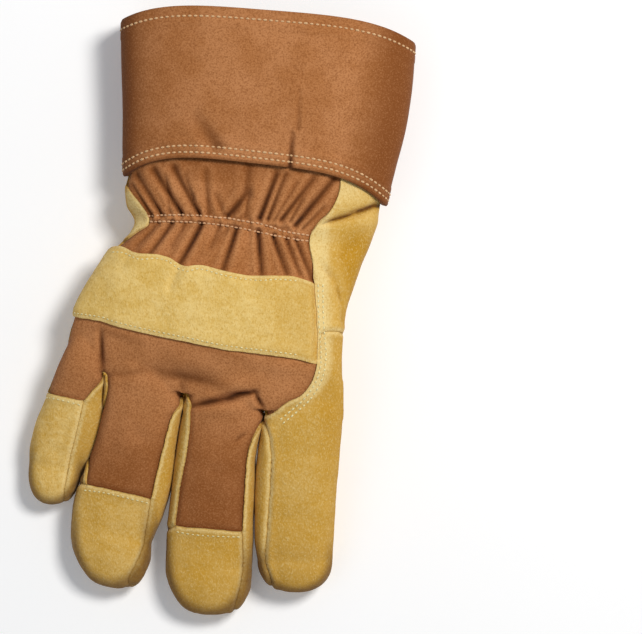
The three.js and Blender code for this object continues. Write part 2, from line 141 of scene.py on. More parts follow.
@dataclass(frozen=True)
class Sections:
    """Cross-sections of a tube: left x and y, right x and y, top, bottom, drop and bow, in millimetres."""

    values: Array

    @classmethod
    def of(cls, *rows: tuple[float, ...]) -> "Sections":
        """Takes rows of six to eight numbers; a missing drop and bow are zero."""
        return cls(np.array([list(row) + [0.0] * (8 - len(row)) for row in rows], float))

    def refined(self, steps: int) -> "Sections":
        """The same tube with smooth rows between its sections."""
        return Sections(catmull_rom(self.values, steps))

    def rings(self, over: int, under: int) -> Array:
        """Points round every section, over the top from left to right and back underneath.

        Args:
            over: Stations on the top side.
            under: Stations on the underside.

        Returns:
            An array of sections by stations by three.
        """
        t = np.concatenate([np.arange(over) / over, 1 - np.arange(under) / under])
        side = np.concatenate([np.ones(over), -np.ones(under)])
        share = (1 - EDGE_CROWDING) * t + EDGE_CROWDING * (0.5 - 0.5 * np.cos(np.pi * t))
        off_centre = np.minimum(np.abs(2 * share - 1), 1)
        height = (1 - off_centre**SQUARENESS) ** (1 / SQUARENESS)
        left, right = self.values[:, None, 0:2], self.values[:, None, 2:4]
        top, bottom, drop, bow = (self.values[:, k, None] for k in (4, 5, 6, 7))
        plan = left + (right - left) * share[None, :, None]
        plan[..., 1] += bow * (1 - off_centre**BOW_SQUARENESS)
        z = (top + bottom) / 2 + side * (top - bottom) / 2 * height - drop * (1 - share) ** 2
        return np.concatenate([plan, np.maximum(z, 0)[..., None]], axis=2)

    def with_tip(self, tip: Point) -> "Sections":
        """The same digit with rows that close it to its rounded tip.

        Args:
            tip: Plan position of the tip.

        Returns:
            The longer table.
        """
        last = self.values[-1]
        centre = (last[0:2] + last[2:4]) / 2
        half = (last[2:4] - last[0:2]) / 2
        middle, rise = (last[4] + last[5]) / 2, (last[4] - last[5]) / 2
        rows = [*self.values]
        for k in range(1, TIP_STEPS + 1):
            turn = TIP_TURN * k / TIP_STEPS
            at = centre + (np.array(tip) - centre) * math.sin(turn)
            width = math.cos(turn) ** TIP_FULLNESS
            left, right = at - half * width, at + half * width
            rows.append(np.array([*left, *right, middle + rise * width, middle - rise * width, 0, 0]))
        return Sections(np.array(rows))

    def read(self, y: Array, values: Array) -> Array:
        """Reads something that each section has at places along the tube.

        Args:
            y: Places along the hand.
            values: One value a section.

        Returns:
            One value a place.
        """
        along = (self.values[:, 1] + self.values[:, 3]) / 2
        rising = np.argsort(along)
        return np.interp(y, along[rising], values[rising])

    def middle_x(self, y: Array) -> Array:
        """Where the tube's middle lies across the hand, at places along it."""
        return self.read(y, (self.values[:, 0] + self.values[:, 2]) / 2)

    def middle_z(self, y: Array) -> Array:
        """How high the tube's middle lies, at places along it."""
        return self.read(y, (self.values[:, 4] + self.values[:, 5]) / 2)


HAND = Sections.of(
    (-41.5, 86, 73, 71, 38, 3),
    (-41.5, 73, 73, 58.5, 38, 3),
    (-42, 61.5, 71.5, 47.5, 38, 3),
    (-43.8, 55, 71, 43.5, 37.5, 3),
    (-43.3, 48, 70.5, 39.5, 37, 3),
    (-39.5, 40.5, 67, 30, 35.5, 3.5),
    (-45, 31, 63, 20.5, 38.5, 5, 1),
    (-50, 27, 59, 9.5, 40, 8, 2),
    (-58.5, 14.5, 56, -2.5, 41, 12.5, 4),
    (-66.5, -2, 54, -25.5, 40.5, 16.5, 6),
    (-69.8, -14, 55, -33, 38.5, 17, 7),
    (-71, -18, 55, -43, 36.5, 16, 7, -2),
    (-71, -21, 54.5, -48.5, 33.5, 18, 4, -3.5),
)


@dataclass(frozen=True)
class Digit:
    """A finger or the thumb: its sections and the plan position of its tip.

    The rim is where its tip is browned: from a share of the way out, back along a share of the tip's
    length, and no further than a share beyond the outline.
    """

    sections: Sections
    tip: Point
    steps: int = 5
    rim_from: Pair = (0.7, 0.98)
    rim_back: Pair = (-0.9, 0.35)
    rim_beyond: float = 1.25

    def whole(self) -> Sections:
        """The digit's sections, refined and closed at the tip."""
        return self.sections.refined(self.steps).with_tip(self.tip)

    def rim(self, plan: Array) -> Array:
        """How near plan positions are to the outline round the digit's tip.

        Args:
            plan: The positions.

        Returns:
            From 0 inside to 1 on the outline, one value a position.
        """
        last = self.sections.values[-1]
        centre = (last[0:2] + last[2:4]) / 2
        reach = np.array(self.tip) - centre
        length = float(np.linalg.norm(reach))
        forward = reach / length
        side = np.array([-forward[1], forward[0]])
        half = abs(float((last[2:4] - last[0:2]) @ side)) / 2
        along, across = (plan - centre) @ forward, (plan - centre) @ side
        far = np.hypot(np.maximum(along, 0) / length, across / half)
        back, front = self.rim_back
        tip = ramp(along, back * length, front * length)
        return ramp(far, *self.rim_from) * tip * (far < self.rim_beyond)


FINGERS = {
    "little": Digit(
        Sections.of(
            (-67, -10, -50, -16, 29, 16),
            (-73.5, -22.5, -52.5, -28.5, 30, 9.5),
            (-78.5, -36, -53.9, -41, 27, 7),
            (-83.5, -47.5, -56.4, -53.5, 24.5, 4.5),
            (-87, -59, -60.2, -64, 21.5, 2),
            (-87.5, -68, -64.6, -72, 19, -0.5),
        ),
        (-79.5, -87),
    ),
    "ring": Digit(
        Sections.of(
            (-51, -18, -18, -28, 33, 15),
            (-51.8, -28.5, -17.9, -40.5, 33.5, 13),
            (-53.4, -48.5, -20.4, -54, 31, 10),
            (-59.7, -67.5, -23.1, -76, 27, 6),
            (-66, -84.5, -28.2, -92.5, 24, 3),
            (-67.5, -98.5, -33.2, -104.5, 21.5, -0.5),
        ),
        (-50, -125),
    ),
    "middle": Digit(
        Sections.of(
            (-16, -30, 18, -38, 34.5, 16),
            (-16.1, -41, 18, -46.5, 34.5, 14),
            (-19.5, -60, 14.9, -63, 31.5, 11),
            (-22, -80, 13.9, -81.5, 28, 7),
            (-23.8, -99, 13.3, -100, 24.5, 3.5),
            (-24.8, -116, 12, -116, 21.5, -0.5),
        ),
        (-4.5, -137.5),
    ),
    "index": Digit(
        Sections.of(
            (20.5, -33, 53.5, -33, 33, 20),
            (20, -47, 54.5, -45.5, 34, 14),
            (16.8, -65, 53, -64, 31.5, 11),
            (15.6, -84.5, 51.5, -84.5, 28, 7.5),
            (15.6, -102.5, 50.5, -102.5, 24.5, 3.5),
            (17.5, -112.5, 50, -112.5, 22, -0.5),
        ),
        (33.5, -127),
    ),
}
# Fingers whose fronts are one with the palm.
PALM_FINGERS = ("little", "index")
THUMB = Digit(
    Sections.of(
        (30, 50, 62, 44, 14, 7),
        (18, 40, 60, 31, 13, 3),
        (9, 28.5, 55, 13.5, 13.5, 0.5),
        (0, 18, 49, -5, 13.5, -0.5),
        (-8.5, 7.5, 36, -18, 12.5, -1),
        (-16.5, -2.5, 22, -29.5, 12.5, -1),
        (-24, -13.5, 11.5, -40, 12, -1),
    ),
    (-11.5, -50),
)


@dataclass(frozen=True)
class Outline:
    """Plan outline of a panel: left x and y, right x and y, and the height of the seam below it."""

    rows: Array

    @classmethod
    def of(cls, *rows: tuple[float, ...]) -> "Outline":
        """Takes rows of five numbers, from the cuff's side towards the fingertips, and smooths them."""
        return cls(catmull_rom(np.array(rows, float), 4))

    def covers(self, points: Array, above: bool = True) -> Array:
        """Which points lie in the outline, on the right side of its seam height.

        Args:
            points: Points to test, one a row.
            above: True for the side above the seam height, False for the side below it.

        Returns:
            One truth value a point.
        """
        found = np.zeros(len(points), bool)
        plan, z = points[:, :2], points[:, 2]
        for upper, lower in zip(self.rows[:-1], self.rows[1:]):
            corners = [upper[0:2], upper[2:4], lower[2:4], lower[0:2]]
            sides = []
            for here, there in zip(corners, corners[1:] + corners[:1]):
                along, away = there - here, plan - here
                length = max(float(np.hypot(*along)), TINY)
                sides.append((along[0] * away[:, 1] - along[1] * away[:, 0]) / length)
            across = sides[0] + sides[2]
            share = sides[0] / np.where(np.abs(across) < TINY, TINY, across)
            low = upper[4] + (lower[4] - upper[4]) * np.clip(share, 0, 1)
            level = z > low if above else z < low
            found |= np.all([side <= 0 for side in sides], axis=0) & level
        return found


BACK_UPPER = Outline.of(
    (-45, 90, 54, 76, 20.5),
    (-44, 60.5, 53.5, 58.5, 20.5),
    (-36, 48.5, 50.5, 48, 20),
    (-32.5, 40.5, 40.5, 36, 19.5),
    (-38.5, 36, 39.5, 30.5, 20),
    (-53, 25.5, 41, 22.5, 21),
    (-62, 17, 42.5, 4, 21.5),
)
BACK_LOWER = Outline.of(
    (-64, 17, 42.5, 4, 21),
    (-73, -2, 43, -23, 20),
    (-78, -12.5, 37, -36.5, 19.5),
    (-78.5, -17, 30, -40, 24),
    (-77, -21.5, 18.5, -49, 29.5),
)
FINGER_BACKS = {
    "little": Outline.of(
        (-75.5, -17, -53, -22.5, 19),
        (-77, -24, -54, -29, 18.5),
        (-83, -35.5, -62, -40, 17),
    ),
    "ring": Outline.of(
        (-53, -22.5, -17, -34, 21),
        (-50.5, -32, -19, -41, 21),
        (-53, -45, -23, -47, 20),
        (-58, -60.5, -27, -63, 17),
        (-61, -77.5, -32, -84, 14),
    ),
    "middle": Outline.of(
        (-17, -34, 24.5, -45, 23),
        (-13.5, -41.5, 18.5, -47.5, 23),
        (-15, -60.5, 12, -60.5, 21),
        (-18.5, -80, 10, -80, 17.5),
        (-20.5, -96.5, 9, -99, 14),
    ),
}
FINGER_TIPS = {
    "little": Outline.of(
        (-83, -35.5, -62, -40, 17),
        (-91, -53, -66, -55.5, 12),
        (-92, -69, -69.5, -70, 9),
        (-92, -80, -71.8, -81.7, 7),
        (-92, -92, -74, -92, 4),
    ),
    "ring": Outline.of(
        (-63, -77.5, -32, -84, 14),
        (-74, -84, -33, -90, 11.5),
        (-74, -95, -34.6, -98, 9.5),
        (-74, -107, -37, -108.5, 7.5),
        (-74, -118, -41.5, -118.5, 6),
        (-74, -132, -48, -132, 4),
    ),
    "middle": Outline.of(
        (-20.5, -96.5, 9, -99, 14),
        (-27, -102, 9, -104.5, 11.5),
        (-27, -118, 8.6, -119, 8.5),
        (-27, -129, 6.5, -129.5, 6.5),
        (-27, -142, 2, -142, 4),
    ),
}
INDEX_BACK = Outline.of(
    (45, -8.5, 60, -9, 27),
    (43, -23, 60, -23.5, 27.5),
    (35.5, -36.5, 60, -37, 26),
    (17.5, -48.5, 60, -46, 24),
)
INDEX_FINGER_BACK = Outline.of(
    (19.5, -46, 60, -44, 24),
    (22.5, -60.5, 58.5, -60.5, 22),
    (21.5, -85, 57, -85, 17.5),
    (20, -109, 56, -109, 12.5),
    (22, -119, 56, -119, 9),
    (24.5, -130.5, 56, -130.5, 6),
)
FRONT_ARCHES = {
    "ring": Outline.of(
        (-42, -9, -25, -13, 24),
        (-51, -18, -17, -27, 24),
        (-53, -30, -16.5, -42, 24),
    ),
    "middle": Outline.of(
        (-10.5, -20.5, 8.5, -23, 24),
        (-16.5, -28.5, 18, -35, 24),
        (-16.5, -42, 18.5, -48, 24),
    ),
}


@dataclass(frozen=True)
class Crotch:
    """Where two fingers meet: their names, its plan position and how high the strip between them comes."""

    left: str
    right: str
    at: Point
    web_top: float

    @property
    def node(self) -> str:
        """Name of the strip."""
        return f"fourchette_{self.left}_{self.right}"


CROTCHES = (
    Crotch("little", "ring", (-53, -27.5), 27.5),
    Crotch("ring", "middle", (-17, -39), 29.3),
    Crotch("middle", "index", (19, -45), 29.3),
)
# The strips between the fingers reach this far round a crotch, stay above the floor, start and end this
# far past the finger's root and short of its tip, and taper towards the tip.
CROTCH_REACH = 5
STRIP_ABOVE_FLOOR = 4.5
STRIP_MARGIN = 3
STRIP_TAPER = 8
STRIP_TAPER_LENGTH = 16


@dataclass(frozen=True)
class Crease:
    """A fold along a line in plan: its two ends, its depth, negative for a ridge, and its width."""

    start: Point
    end: Point
    depth: float
    width: float

    def place(self, plan: Array) -> tuple[Array, Array]:
        """Where plan positions lie beside the line.

        Args:
            plan: The positions.

        Returns:
            Each position's distance from the line, and its share of the way along.
        """
        start = np.array(self.start)
        along = np.array(self.end) - start
        away = plan - start
        share = np.clip((away @ along) / float(along @ along), 0, 1)
        return np.linalg.norm(away - share[:, None] * along, axis=1), share


def creases(*rows: tuple[float, float, float, float, float, float]) -> tuple[Crease, ...]:
    """Creases from rows of start x, start y, end x, end y, depth and width."""
    return tuple(Crease((a, b), (c, d), depth, width) for a, b, c, d, depth, width in rows)


# Gathers above the elastic run down to it, and those below it run away from it.
GATHERS_ABOVE = creases(
    (-38.5, 62, -27, 43.5, 1.5, 1.1),
    (-40, 57, -31.5, 43.5, 1.2, 1.0),
    (-30.5, 64, -18, 44.2, 1.9, 1.2),
    (-25, 61, -23, 45, 0.8, 0.9),
    (-21.5, 65, -10, 44, 1.8, 1.2),
    (-16, 62, -12.5, 51, 0.9, 1.1),
    (-7, 63, -5.5, 44, 1.0, 1.2),
    (-2.5, 53, 1.5, 43.5, 0.8, 1.0),
    (12.8, 66, 11.3, 53, 0.9, 1.9),
    (11.3, 53, 3, 43, 1.9, 1.5),
    (13, 57, 11, 42.5, 0.9, 1.1),
    (25, 62, 17.3, 42, 2.2, 1.3),
    (29, 62, 21, 41.8, 1.6, 1.1),
    (34, 58, 24, 41.5, 0.9, 1.0),
    (41.5, 60, 27, 41.5, 1.7, 1.2),
    (36, 50, 31, 41, 1.1, 1.0),
    (51, 60, 33.5, 39, 2.0, 1.3),
    (46, 47, 36.5, 37.5, 1.0, 1.0),
)
GATHERS_BELOW = creases(
    (-28, 41, -38, 30.5, 0.8, 1.0),
    (-22.4, 40.3, -33, 26, 1.5, 1.1),
    (-16, 40, -22.5, 30, 0.8, 1.0),
    (-8.9, 39.6, -19, 21.5, 2.2, 1.2),
    (-1, 38.5, -5, 29, 0.9, 1.0),
    (6.8, 37.4, 0.6, 18.5, 2.0, 1.2),
    (16.6, 36, 18.2, 17.5, 2.0, 1.2),
    (23.3, 34.4, 29.5, 17.5, 1.8, 1.1),
    (29.3, 33, 35.5, 17, 1.3, 1.0),
    (33.8, 32.6, 41, 15, 1.5, 1.1),
)
# Folds of the lower back, of the side of the hand and of the fingers, ridges as negative depths.
FOLDS = creases(
    (-14, -42, 3, -38.5, 2.9, 1.7),
    (0, -39, 15.5, -36.3, 3.4, 1.6),
    (14.5, -36, 18.7, -44, 2.2, 1.2),
    (-6, -34, 16, -31, -0.9, 2.8),
    (-8, -45, 12, -42.5, -0.7, 2.8),
    (-30, -26.5, 2, -32.5, 1.4, 4.0),
    (-51, -28, -30, -26, 0.7, 2.4),
    (-26, -20, 6, -25, -0.6, 4.0),
    (-8, -17.5, 10, -21, -0.5, 3.0),
    (22, -26, 34, -24, -0.5, 3.5),
    (-54.7, -7.5, -54.2, -26, 1.9, 1.4),
    (-49.5, -13, -50, -26, -0.5, 3.0),
    (-18.5, -29, -17.5, -38, 0.9, 2.6),
    (6.2, -58.5, 10.8, -54.5, 1.0, 1.1),
    (-40, -52, -33, -60, 0.35, 3.0),
    (-6, -70, 3, -73, 0.3, 3.0),
    (74, 49, 60, 44, 3.1, 1.7),
    (63, 45, 45, 39.6, 2.6, 1.5),
    (68, 54, 49, 45.5, -0.8, 3.6),
    (66, 40.5, 52, 35, -0.5, 3.0),
    (59, 30, 53, 24, 0.7, 2.6),
    (44, 22.5, 51.5, 13.8, 1.1, 1.5),
    (51.5, 13.8, 55.1, 3, 1.2, 1.5),
    (55.1, 3, 55.4, -8, 0.9, 1.5),
    (45.5, 16, 48.8, 3, -0.7, 3.0),
    (48.8, 3, 49, -8, -0.6, 3.0),
    (28, -62, 46, -66, 0.3, 4.0),
    (24, -92, 45, -96, 0.3, 4.0),
    (30, -110, 42, -116, 0.25, 3.0),
    (-62, -95, -38, -101, 0.3, 4.0),
    (-16, -108, 5, -110, 0.25, 3.5),
    (-82, -60, -68, -66, 0.3, 3.0),
)
# Creases of the palm side, where the leather folds over the root of the thumb and at the knuckles.
PALM_FOLDS = creases(
    (-38, 28, -8, 16, 1.0, 2.6),
    (-46, 12, -20, 4, 0.8, 2.6),
    (-60, -6, -34, -14, 0.7, 3.0),
    (-20, -12, 14, -22, 0.6, 3.0),
    (10, 44, -4, 30, 0.7, 3.0),
    (-66, -48, -80, -44, 0.5, 2.2),
    (-50, -66, -30, -74, 0.5, 2.4),
    (-18, -74, 8, -76, 0.5, 2.4),
    (20, -78, 48, -78, 0.5, 2.4),
)
STRAP_FOLDS = creases(
    (-18.2, 21.5, -23, 11, 0.8, 1.8),
    (-14, 22, -17, 12, -0.3, 2.5),
    (-41, 26, -44, 20, 0.4, 2.0),
    (16, 17, 14, 8, 0.3, 3.0),
    (-52, 12, -60, 2, 0.35, 4.0),
)
ELASTIC_UPPER = (
    (-33.5, 43.4), (-17.3, 43.9), (0.7, 42.5), (7.4, 41.6), (20, 39.4), (27.2, 36.7), (38.5, 34.9),
)
ELASTIC_LOWER = ((-33.3, 41), (-17.3, 41), (0.7, 39.4), (14.6, 36.7), (27.2, 34), (38.2, 32.2))
# The strap's wavy upper edge, its lower edge, and its right end from the top down.
STRAP_TOP = (
    (-62, 31.5), (-48.4, 29), (-43.4, 28.6), (-36.7, 25.7), (-28.6, 26.1), (-22.7, 24.5),
    (-18.7, 21.6), (-14.2, 20), (-12.2, 21.4), (-7, 20.9), (0.7, 18.7), (8.8, 16.9),
    (18.2, 16.2), (25.9, 16.7), (33.5, 16), (41.2, 13.3),
)
STRAP_BOTTOM = (
    (-80, -0.5), (-66.4, -2), (-53.8, -3.8), (-48.8, -5.6), (-31.7, -9.7),
    (-13.7, -13.3), (1.1, -16.4), (19.6, -18.7), (33.1, -20.5), (43, -23.3),
)
STRAP_END = ((42.6, 20), (43.9, -4), (44.4, -23.5))
STRAP_SEAM_HEIGHT = 20.5
# The doubled leather edge beside the strap and round the root of the index finger.
WELT = (
    (41.6, 12), (41.9, -4), (43, -20), (41.6, -28.1), (39.4, -32.6),
    (36.2, -37.1), (31.3, -41.6), (25.9, -46.1), (19.5, -50),
)


class Links:
    """How the quads of a mesh share their edges."""

    def __init__(self, faces: Array) -> None:
        """Pairs up the faces on both sides of every edge.

        Args:
            faces: Quads, four point numbers a row.
        """
        pairs = np.sort(np.stack([faces, np.roll(faces, -1, axis=1)], axis=2).reshape(-1, 2), axis=1)
        owner = np.repeat(np.arange(len(faces)), 4)
        order = np.lexsort((pairs[:, 1], pairs[:, 0]))
        pairs, owner = pairs[order], owner[order]
        same = np.all(pairs[1:] == pairs[:-1], axis=1)
        first = np.flatnonzero(same)
        self.edges = pairs[first]
        self.faces = np.stack([owner[first], owner[first + 1]], axis=1)
        single = np.ones(len(pairs), bool)
        single[first] = False
        single[first + 1] = False
        self.rim = pairs[single]
        self.all_edges = np.concatenate([self.edges, self.rim])


def neighbour_mean(points: Array, edges: Array) -> Array:
    """Averages each point's neighbours.

    Args:
        points: The points.
        edges: Pairs of point numbers.

    Returns:
        The mean of each point's neighbours along the edges; a point without any stays itself.
    """
    count = len(points)
    ends = np.concatenate([edges[:, 0], edges[:, 1]])
    others = np.concatenate([edges[:, 1], edges[:, 0]])
    number = np.bincount(ends, minlength=count)
    sums = [np.bincount(ends, weights=points[others, k], minlength=count) for k in range(3)]
    mean = np.stack(sums, axis=1) / np.maximum(number, 1)[:, None]
    return np.where(number[:, None] > 0, mean, points)


def vertex_normals(points: Array, faces: Array) -> Array:
    """Works out the normals of a quad mesh.

    Args:
        points: Its points.
        faces: Its quads.

    Returns:
        A unit normal for each point.
    """
    a, b, c, d = (points[faces[:, k]] for k in range(4))
    across = np.cross(c - a, d - b)
    total = np.zeros((len(points), 3))
    for axis in range(3):
        for k in range(4):
            total[:, axis] += np.bincount(faces[:, k], weights=across[:, axis], minlength=len(points))
    return total / np.maximum(np.linalg.norm(total, axis=1), 1e-9)[:, None]


def cloud(points: Array, size: float, seed: float) -> Array:
    """Smooth noise from about -1 to 1 at each point.

    Args:
        points: Points in millimetres.
        size: Size of its features, in millimetres.
        seed: Offset that makes one noise differ from another.

    Returns:
        One value a point.
    """
    scaled = points / size + seed
    return np.array([noise.noise(Vector(p)) for p in scaled.tolist()])


def new_mesh(name: str, points: Array, faces: list[Face]) -> Mesh:
    """Makes a mesh.

    Args:
        name: Its name.
        points: Points in millimetres.
        faces: Faces.

    Returns:
        The mesh, in metres.
    """
    mesh = bpy.data.meshes.new(name)
    mesh.from_pydata((points * MM).tolist(), [], faces)
    mesh.update()
    return mesh


def new_object(name: str, data: ID) -> Object:
    """Puts a mesh, a lamp or a camera in the scene.

    Args:
        name: The object's name.
        data: What the object shows.

    Returns:
        The object.
    """
    made = bpy.data.objects.new(name, data)
    bpy.context.scene.collection.objects.link(made)
    return made


def evaluated_mesh(obj: Object) -> Mesh:
    """Applies an object's modifiers, and removes the object.

    Args:
        obj: The object.

    Returns:
        Its mesh with the modifiers applied.
    """
    graph = bpy.context.evaluated_depsgraph_get()
    mesh = bpy.data.meshes.new_from_object(obj.evaluated_get(graph))
    bpy.data.objects.remove(obj)
    return mesh


def ring_quads(rows: int, count: int) -> Array:
    """Numbers the quads between rings of points.

    Args:
        rows: Rings.
        count: Points in a ring.

    Returns:
        Four point numbers a quad.
    """
    grid = np.arange(rows * count).reshape(rows, count)
    after = np.roll(grid, -1, axis=1)
    return np.stack([grid[:-1], after[:-1], after[1:], grid[1:]], axis=2).reshape(-1, 4)


def closed_loft(sections: Sections, stations: tuple[int, int]) -> tuple[Array, list[Face]]:
    """Makes a closed tube through sections.

    Args:
        sections: The sections.
        stations: Stations on the top side and on the underside.

    Returns:
        Points and faces.
    """
    rings = sections.rings(*stations)
    rows, count = rings.shape[:2]
    ends = [rings[k].mean(axis=0)[None] for k in (0, -1)]
    points = np.concatenate([rings.reshape(-1, 3), *ends])
    faces: list[Face] = []
    last = (rows - 1) * count
    for k in range(count):
        after = (k + 1) % count
        faces.append((rows * count, after, k))
        faces.append((rows * count + 1, last + k, last + after))
    return points, faces + [tuple(quad) for quad in ring_quads(rows, count).tolist()]


def joined(parts: list[tuple[Array, list[Face]]]) -> tuple[Array, list[Face]]:
    """Joins meshes into one.

    Args:
        parts: Points and faces of each.

    Returns:
        All the points and faces.
    """
    faces: list[Face] = []
    start = 0
    for points, part_faces in parts:
        faces += [tuple(start + k for k in face) for face in part_faces]
        start += len(points)
    return np.concatenate([points for points, _ in parts]), faces


def cut_out(faces: Array) -> tuple[Array, Array]:
    """The points of a whole mesh that some quads use, and the quads by those points' new numbers."""
    used, numbers = np.unique(faces, return_inverse=True)
    return used, numbers.reshape(-1, 4)


def from_rim(points: Array, faces: Array) -> tuple[Array, Array, Array]:
    """Measures an open mesh from its rim.

    Args:
        points: Its points.
        faces: Its quads.

    Returns:
        Which points are on the rim, each point's distance from it, and its nearest rim point.
    """
    numbers = np.unique(Links(faces).rim)
    tree = KDTree(len(numbers))
    for k, p in zip(numbers.tolist(), points[numbers].tolist()):
        tree.insert(p, k)
    tree.balance()
    found = [tree.find(p) for p in points.tolist()]
    rim = np.isin(np.arange(len(points)), numbers)
    return rim, np.array([f[2] for f in found]), np.array([f[1] for f in found])


def smoothed_border(points: Array, links: Links, border: Array) -> Array:
    """Straightens the stepped line of border edges, and evens out the quads beside it.

    Args:
        points: Points of the skin.
        links: Its edges.
        border: Which inner edges are border edges.

    Returns:
        The moved points.
    """
    line = links.edges[border]
    on_line = np.zeros(len(points), bool)
    on_line[line.ravel()] = True
    on_rim = np.zeros(len(points), bool)
    on_rim[links.rim.ravel()] = True
    near = on_line.copy()
    for _ in range(BORDER_RINGS):
        touched = near[links.all_edges].any(axis=1)
        near[links.all_edges[touched].ravel()] = True
    moved = points.copy()
    steps = (
        (BORDER_ROUNDS, line, on_line & ~on_rim),
        (BESIDE_ROUNDS, links.all_edges, near & ~on_line & ~on_rim),
    )
    for rounds, edges, free in steps:
        for _ in range(rounds):
            mean = neighbour_mean(moved, edges)
            moved[free] = 0.5 * moved[free] + 0.5 * mean[free]
    return moved


@dataclass
class Panel:
    """One panel cut out of the skin.

    Fields: its name, points, faces, outward normals, distance from its own edge, what lies beyond the
    nearest edge, which points are on the edge, and where each point sits in the skin.
    """

    name: str
    points: Array
    faces: Array
    normals: Array
    edge: Array
    beyond: Array
    rim: Array
    source: Array

    def up(self, low: float, high: float) -> Array:
        """1 where the panel faces up more than one share, 0 where it does less than another."""
        return ramp(self.normals[:, 2], low, high)


@dataclass
class Skin:
    """The hand, fingers and thumb as one surface, parted into panels by its seams.

    Only faces past the fingers' start are measured from the fingers, and only low ones from the thumb;
    those past the wrist are all the hand's. Top panels take faces that face up more than a share, and
    fronts those that face less up than another. The back also wraps round the little finger's side.
    """

    hand_steps: int = 6
    hand_stations: tuple[int, int] = (90, 60)
    finger_stations: tuple[int, int] = (40, 28)
    thumb_stations: tuple[int, int] = (40, 40)
    voxel: float = 0.8
    smoothing: Pair = (0.6, -0.55)
    smoothing_rounds: int = 9
    wrist_trim: float = 2.2
    fingers_start: float = -8
    thumb_top: float = 20
    wrist: float = 55
    far: float = 50
    top_facing: float = -0.35
    front_facing: float = 0.1
    side_x: float = -62
    side_y: Pair = (-34, 0)
    side_z: float = 16.5
    crumb_rounds: int = 3
    crumb_steps: int = 200

    def __post_init__(self) -> None:
        """Grows the surface, opens it at the wrist and parts it into panels."""
        self.names: list[str] = []
        self.points, self.faces = self._grow()
        self._open_wrist()
        self.links = Links(self.faces)
        self.labels = self._name_faces()
        self._tidy_labels()
        self.points = above_floor(smoothed_border(self.points, self.links, self._seams()))
        self.normals = vertex_normals(self.points, self.faces)

    def _grow(self) -> tuple[Array, Array]:
        """Joins the lofts into one closed skin of even quads.

        Returns:
            Points and quads.
        """
        parts = [closed_loft(HAND.refined(self.hand_steps), self.hand_stations)]
        parts += [closed_loft(digit.whole(), self.finger_stations) for digit in FINGERS.values()]
        parts.append(closed_loft(THUMB.whole(), self.thumb_stations))
        self.trees = [BVHTree.FromPolygons(points.tolist(), faces) for points, faces in parts]
        grown = new_object("skin", new_mesh("skin", *joined(parts)))
        remesh = grown.modifiers.new("even quads", "REMESH")
        remesh.mode = "VOXEL"
        remesh.voxel_size = self.voxel * MM
        remesh.adaptivity = 0
        mesh = evaluated_mesh(grown)
        co = np.empty(len(mesh.vertices) * 3)
        mesh.vertices.foreach_get("co", co)
        loops = np.empty(len(mesh.loops), np.int32)
        mesh.loops.foreach_get("vertex_index", loops)
        points, quads = co.reshape(-1, 3) / MM, loops.reshape(-1, 4)
        edges = Links(quads).all_edges
        for weight in self.smoothing * self.smoothing_rounds:
            points = points + weight * (neighbour_mean(points, edges) - points)
        if np.sum((points - points.mean(axis=0)) * vertex_normals(points, quads)) < 0:
            quads = quads[:, ::-1]
        return points, quads

    def _open_wrist(self) -> None:
        """Takes off the flat end under the cuff."""
        ends = HAND.values[0]
        centre = self.points[self.faces].mean(axis=1)
        line = ends[1] + (ends[3] - ends[1]) * (centre[:, 0] - ends[0]) / (ends[2] - ends[0])
        used, self.faces = cut_out(self.faces[centre[:, 1] < line - self.wrist_trim])
        self.points = self.points[used]

    def _label(self, name: str) -> int:
        """The number that stands for a panel, a new one where it has none."""
        if name not in self.names:
            self.names.append(name)
        return self.names.index(name)

    def _nearest_loft(self, at: Array) -> Array:
        """Finds the loft that each place lies on: 0 for the hand, then the fingers, then the thumb.

        Args:
            at: The places.

        Returns:
            One number a place.
        """
        distance = np.full((len(self.trees), len(at)), float(self.far))
        near_fingers = at[:, 1] < self.fingers_start
        reach = (np.ones(len(at), bool), *([near_fingers] * len(FINGERS)), at[:, 2] < self.thumb_top)
        for k, (tree, chosen) in enumerate(zip(self.trees, reach)):
            distance[k, chosen] = [tree.find_nearest(p)[3] for p in at[chosen].tolist()]
        distance[0, at[:, 1] > self.wrist] = 0
        return np.argmin(distance, axis=0)

    def _name_faces(self) -> Array:
        """Decides which panel each face belongs to.

        Returns:
            The panel's number, one a face.
        """
        at = self.points[self.faces].mean(axis=1)
        x, y, z = at.T
        facing = vertex_normals(self.points, self.faces)[self.faces].mean(axis=1)[:, 2]
        source = self._nearest_loft(at)
        on = {name: source == k + 1 for k, name in enumerate(FINGERS)}
        labels = np.full(len(at), self._label("palm"))
        free = np.ones(len(at), bool)

        def take(name: str, chosen: Array) -> None:
            """Gives the chosen faces, where they are still free, to a panel."""
            labels[chosen & free] = self._label(name)
            free[chosen & free] = False

        over = facing > self.top_facing
        side = (x < self.side_x) & (y > self.side_y[0]) & (y < self.side_y[1]) & (z > self.side_z)
        lower = BACK_LOWER.covers(at) | (side & ((source == 0) | on["little"]))
        for name, outline in FINGER_BACKS.items():
            lower |= on[name] & outline.covers(at)
        take("thumb", source == len(FINGERS) + 1)
        take("back_upper", BACK_UPPER.covers(at) & over)
        take("back_lower", lower & over)
        take("index_back", (INDEX_BACK.covers(at) | (on["index"] & INDEX_FINGER_BACK.covers(at))) & over)
        for name, outline in FINGER_TIPS.items():
            take(f"tip_{name}", on[name] & outline.covers(at))
        for crotch in CROTCHES:
            take(crotch.node, self._strip(crotch, at, on))
        for name, arch in FRONT_ARCHES.items():
            sections = FINGERS[name].sections
            front = on[name] & (z < sections.middle_z(y)) & (y < sections.values[1, 1:4:2].mean())
            take(f"front_{name}", front | (arch.covers(at, above=False) & (facing < self.front_facing)))
        return labels

